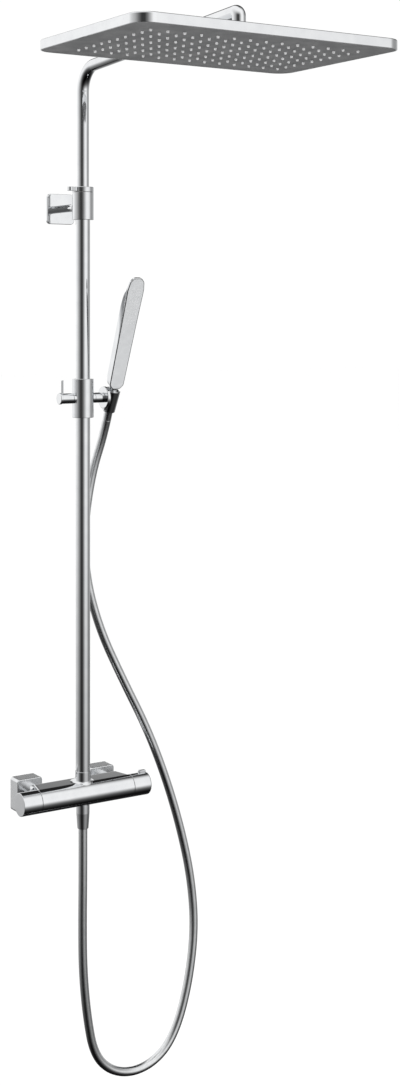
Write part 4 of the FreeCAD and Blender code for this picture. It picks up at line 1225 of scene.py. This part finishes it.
@dataclass
class Hose:
    """Smooth metal-look hose that hangs from the valve to the holder.

    Args:
        maker: Takes the finished pieces.
        radius: Outer radius.
        holder_part: Length before the end at which the upper length begins.
        nut_part: Length at the end, made as a piece of its own.
        bend_start: How far out and down from the origin the main length begins to follow
        the slider. Not used.
        bend_margin: How far before its end the main length follows the slider fully. Not used.
        rigid_part: Share of a bending length that stays rigid at each end. Not used.
        station: Distance between rings along the hose.
        route: Control points of the middle line.
    """

    maker: Maker
    radius: float = 0.008
    holder_part: float = 0.110
    nut_part: float = 0.018
    bend_start: float = -0.0225
    bend_margin: float = 0.005
    rigid_part: float = 0.12
    station: float = 0.0025
    route: tuple[tuple[float, float, float], ...] = (
        (0.0, -0.092, -0.054), (0.0, -0.092, -0.140), (0.0, -0.090, -0.225),
        (0.002, -0.088, -0.312), (0.011, -0.086, -0.396), (0.027, -0.084, -0.474),
        (0.066, -0.082, -0.515), (0.121, -0.080, -0.529), (0.175, -0.079, -0.511),
        (0.211, -0.077, -0.465), (0.238, -0.074, -0.384), (0.253, -0.070, -0.290),
        (0.247, -0.066, -0.195), (0.226, -0.062, -0.098), (0.196, -0.058, 0.0),
        (0.157, -0.054, 0.098), (0.106, -0.050, 0.196), (0.059, -0.046, 0.294),
        (0.031, -0.044, 0.394), (0.028, -0.045, 0.490), (0.042, -0.04977, 0.58569),
        (0.059, -0.06454, 0.65604), (0.059, -0.08177, 0.69869),
    )

    def build(self) -> None:
        """Make the hose in three lengths that meet at shared rings."""
        line = self.middle_line()
        steps = np.linalg.norm(np.diff(line, axis=0), axis=1)
        travelled = np.concatenate([[0.0], np.cumsum(steps)])
        whole = float(travelled[-1])
        cuts = (whole - self.holder_part, whole - self.nut_part)
        upper, bent = self.length("hose_upper", line, travelled, *cuts)
        self.bend(upper, bent, Body.SLIDER, Body.HOLDER)
        last, bent = self.length("hose_end", line, travelled, cuts[1], whole)
        self.bend(last, bent, Body.HOLDER, Body.HANDSET)
        main, run = self.length("hose_main", line, travelled, 0.0, cuts[0])
        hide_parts("shower_hose")
        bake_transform(main)

    def bend(self, piece: bpy.types.Object, run: Array, first: Body, second: Body) -> None:
        """Bake a length's placement into its mesh.

        Args:
            piece: The length of hose.
            run: Its middle line. Not used.
            first: Body at its start. Not used.
            second: Body at its end. Not used.
        """
        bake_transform(piece)

    def middle_line(self) -> Array:
        """Smooth spline whose control points are the route.

        Returns:
            Its points.
        """
        data = bpy.data.curves.new("hose_line", "CURVE")
        data.dimensions = "3D"
        spline = data.splines.new("NURBS")
        spline.points.add(len(self.route) - 1)
        spline.points.foreach_set("co", [value for point in self.route for value in (*point, 1.0)])
        spline.order_u = 3
        spline.use_endpoint_u = True
        spline.resolution_u = 20
        guide = linked("hose_line", data)
        mesh = worked_out(guide)
        points = np.empty(len(mesh.vertices) * 3)
        mesh.vertices.foreach_get("co", points)
        bpy.data.objects.remove(guide)
        bpy.data.curves.remove(data)
        bpy.data.meshes.remove(mesh)
        return points.reshape(-1, 3)

    def length(self, name: str, line: Array, travelled: Array, start: float,
               end: float) -> tuple[bpy.types.Object, Array]:
        """One length of hose.

        Args:
            name: Name of the piece.
            line: Points of the whole middle line.
            travelled: Length of the line up to each point.
            start: Where this length begins.
            end: Where it ends.

        Returns:
            The object and its middle line.
        """
        stations = np.linspace(start, end, max(round((end - start) / self.station), 8))
        run = np.column_stack([np.interp(stations, travelled, line[:, i]) for i in range(3)])
        tube = swept(run, self.radius, Y_SIDE, steps=40)
        return self.maker.piece(name, [tube], None, [], HOSE, Slot.HOSE), run


@dataclass
class Studio:
    """Pale floor, white surroundings and soft lights round the column."""

    floor_level: float = -0.95
    floor_reach: float = 40.0

    def build(self) -> None:
        """Make the floor, the surroundings and the overhead light."""
        self.floor()
        self.surroundings()
        self.overhead()
        bpy.context.scene.view_settings.view_transform = "Standard"

    def floor(self) -> None:
        """Plain pale floor, left out of mirror images of the chrome."""
        reach, level = self.floor_reach, self.floor_level
        corners = np.array([(-1, -1), (1, -1), (1, 1), (-1, 1)]) * reach
        points = np.column_stack([corners, np.full(4, level)])
        mesh = bpy.data.meshes.new("Floor")
        mesh.from_pydata(points.tolist(), [], [(0, 1, 2, 3)])
        floor = linked("Floor", mesh)
        material = bpy.data.materials.new("PaleFloor")
        material.use_nodes = True
        shader = material.node_tree.nodes["Principled BSDF"]
        shader.inputs["Base Color"].default_value = (0.985, 0.985, 0.985, 1.0)
        shader.inputs["Roughness"].default_value = 0.9
        shader.inputs["Specular IOR Level"].default_value = 0.0
        mesh.materials.append(material)
        floor.visible_glossy = False

    def surroundings(self) -> None:
        """White room whose mirror image holds dark strips between soft boxes."""
        world = bpy.data.worlds.new("Studio")
        bpy.context.scene.world = world
        world.use_nodes = True
        tree = world.node_tree
        tree.nodes.clear()
        place = tree.nodes.new("ShaderNodeTexCoord")
        split = tree.nodes.new("ShaderNodeSeparateXYZ")
        tree.links.new(place.outputs["Generated"], split.inputs["Vector"])
        room = product(tree, self.around(tree, split), self.below(tree, split))
        opened = self.between(tree, split.outputs["Z"], 0.30, 0.90, 0.0, 1.0)
        ceiling = tree.nodes.new("ShaderNodeMix")
        tree.links.new(opened, ceiling.inputs["Factor"])
        tree.links.new(room, ceiling.inputs["A"])
        ceiling.inputs["B"].default_value = 1.0
        # One dark patch in mirror images: behind, above and to the right of the column.
        behind = self.between(tree, split.outputs["Y"], -0.60, 0.50, 0.0, 1.0)
        above = self.between(tree, split.outputs["Z"], 0.12, 0.37, 0.0, 1.0)
        right = self.between(tree, split.outputs["X"], -0.05, 0.38, 0.0, 1.0)
        patch = product(tree, product(tree, behind, above), right)
        shade = self.between(tree, patch, 0.0, 1.0, 1.1, 0.02)
        mirrored = tree.nodes.new("ShaderNodeBackground")
        mirrored.inputs["Color"].default_value = WHITE
        tree.links.new(product(tree, ceiling.outputs["Result"], shade),
                       mirrored.inputs["Strength"])
        plain = tree.nodes.new("ShaderNodeBackground")
        plain.inputs["Color"].default_value = WHITE
        plain.inputs["Strength"].default_value = 1.02
        path = tree.nodes.new("ShaderNodeLightPath")
        choose = tree.nodes.new("ShaderNodeMixShader")
        tree.links.new(path.outputs["Is Glossy Ray"], choose.inputs["Fac"])
        tree.links.new(plain.outputs["Background"], choose.inputs[1])
        tree.links.new(mirrored.outputs["Background"], choose.inputs[2])
        output = tree.nodes.new("ShaderNodeOutputWorld")
        tree.links.new(choose.outputs["Shader"], output.inputs["Surface"])

    def between(self, tree: bpy.types.NodeTree, source: bpy.types.NodeSocket, low: float,
                high: float, start: float, end: float) -> bpy.types.NodeSocket:
        """Smooth step from start to end as a value goes from low to high.

        Args:
            tree: Node tree of the surroundings.
            source: The value.
            low: Where the step begins.
            high: Where it ends.
            start: Result at low and below.
            end: Result at high and above.

        Returns:
            The result.
        """
        step = tree.nodes.new("ShaderNodeMapRange")
        step.interpolation_type = "SMOOTHSTEP"
        step.inputs["From Min"].default_value = low
        step.inputs["From Max"].default_value = high
        step.inputs["To Min"].default_value = start
        step.inputs["To Max"].default_value = end
        tree.links.new(source, step.inputs["Value"])
        return step.outputs["Result"]

    def around(self, tree: bpy.types.NodeTree, split: bpy.types.Node) -> bpy.types.NodeSocket:
        """Brightness by compass direction in degrees, 0 being straight out of the wall.

        Args:
            tree: Node tree of the surroundings.
            split: Node with the direction's three parts.

        Returns:
            The brightness.
        """
        turn = tree.nodes.new("ShaderNodeMath")
        turn.operation = "ARCTAN2"
        flip = tree.nodes.new("ShaderNodeMath")
        flip.operation = "MULTIPLY"
        flip.inputs[1].default_value = -1.0
        tree.links.new(split.outputs["Y"], flip.inputs[0])
        tree.links.new(split.outputs["X"], turn.inputs[0])
        tree.links.new(flip.outputs["Value"], turn.inputs[1])
        stops = [(-180, 0.95), (-144, 1.0), (-119, 0.68), (-94, 0.44), (-73, 0.17), (-56, 0.045),
                 (-38, 0.045), (-23, 0.20), (-7, 0.55), (9, 0.97), (25, 1.0), (43, 0.86),
                 (60, 0.40), (84, 0.32), (122, 0.60), (150, 0.85), (180, 0.95)]
        return self.ramp(tree, turn.outputs["Value"], -math.pi, math.pi,
                         [((angle + 180) / 360, value) for angle, value in stops])

    def below(self, tree: bpy.types.NodeTree, split: bpy.types.Node) -> bpy.types.NodeSocket:
        """Brightness by height, falling off under the horizon.

        Args:
            tree: Node tree of the surroundings.
            split: Node with the direction's three parts.

        Returns:
            The brightness.
        """
        stops = [(-1.0, 0.01), (-0.85, 0.015), (-0.7, 0.05), (-0.55, 0.12), (-0.42, 0.27),
                 (-0.28, 0.52), (-0.2, 0.72), (-0.1, 0.93), (0.0, 1.0), (1.0, 1.0)]
        return self.ramp(tree, split.outputs["Z"], -1.0, 1.0,
                         [((height + 1) / 2, value) for height, value in stops])

    def ramp(self, tree: bpy.types.NodeTree, source: bpy.types.NodeSocket, low: float,
             high: float, stops: Sequence[tuple[float, float]]) -> bpy.types.NodeSocket:
        """Curve through stops of (place, brightness).

        Args:
            tree: Node tree of the surroundings.
            source: The value that is looked up.
            low: Value at place 0.
            high: Value at place 1.
            stops: The stops, in order.

        Returns:
            The brightness.
        """
        part = tree.nodes.new("ShaderNodeMapRange")
        part.inputs["From Min"].default_value = low
        part.inputs["From Max"].default_value = high
        tree.links.new(source, part.inputs["Value"])
        ramp = tree.nodes.new("ShaderNodeValToRGB")
        ramp.color_ramp.interpolation = "LINEAR"
        elements = ramp.color_ramp.elements
        for _ in range(len(stops) - 2):
            elements.new(0.5)
        for element, (place, value) in zip(elements, stops):
            element.position = place
            element.color = (value, value, value, 1.0)
        tree.links.new(part.outputs["Result"], ramp.inputs["Fac"])
        return ramp.outputs["Color"]

    def overhead(self) -> None:
        """Large soft light above and in front, kept out of the chrome."""
        data = bpy.data.lights.new("Overhead", "AREA")
        data.shape = "RECTANGLE"
        data.size = 3.0
        data.size_y = 2.4
        data.energy = 35.0
        light = linked("Overhead", data)
        light.location = (-0.8, -2.6, 3.2)
        light.rotation_euler = (math.radians(42), 0.0, math.radians(-16))
        light.visible_glossy = False


@dataclass
class Viewpoint:
    """Camera that looks level across the column from the front left."""

    place: tuple[float, float, float] = (-1.4315, -2.7361, 0.8818)
    heading: float = 32.47
    lens: float = 55.0
    drop: float = 0.2135

    def build(self) -> None:
        """Make the camera and give it to the scene."""
        data = bpy.data.cameras.new("Camera")
        data.sensor_width = 36.0
        data.lens = self.lens
        data.shift_y = -self.drop
        data.clip_end = 200.0
        camera = linked("Camera", data)
        camera.location = self.place
        camera.rotation_euler = (math.radians(90), 0.0, math.radians(-self.heading))
        bpy.context.scene.camera = camera


def dress_cad_nodes() -> None:
    """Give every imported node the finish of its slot."""
    slots = {part["node"]: part["material_slot"] for part in frame["record"]["subparts"]}
    for name, node in frame["nodes"].items():
        finish = SLOT_FINISH[slots[name]]
        node.data.materials.clear()
        node.data.materials.append(finish.material())
        LOG.info("node %s: %s", name, finish.name)


def main() -> None:
    """Build the whole column."""
    logging.basicConfig(level=logging.INFO, format="%(name)s: %(message)s")
    Viewpoint().build()
    Studio().build()
    dress_cad_nodes()
    maker = Maker()
    for part in (Valve, Riser, WallBracket, RainHead, Slider, Holder, Handset, Hose):
        part(maker).build()
    LOG.info("%d pieces made", len(maker.made))
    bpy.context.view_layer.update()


if __name__ == "__main__":
    main()
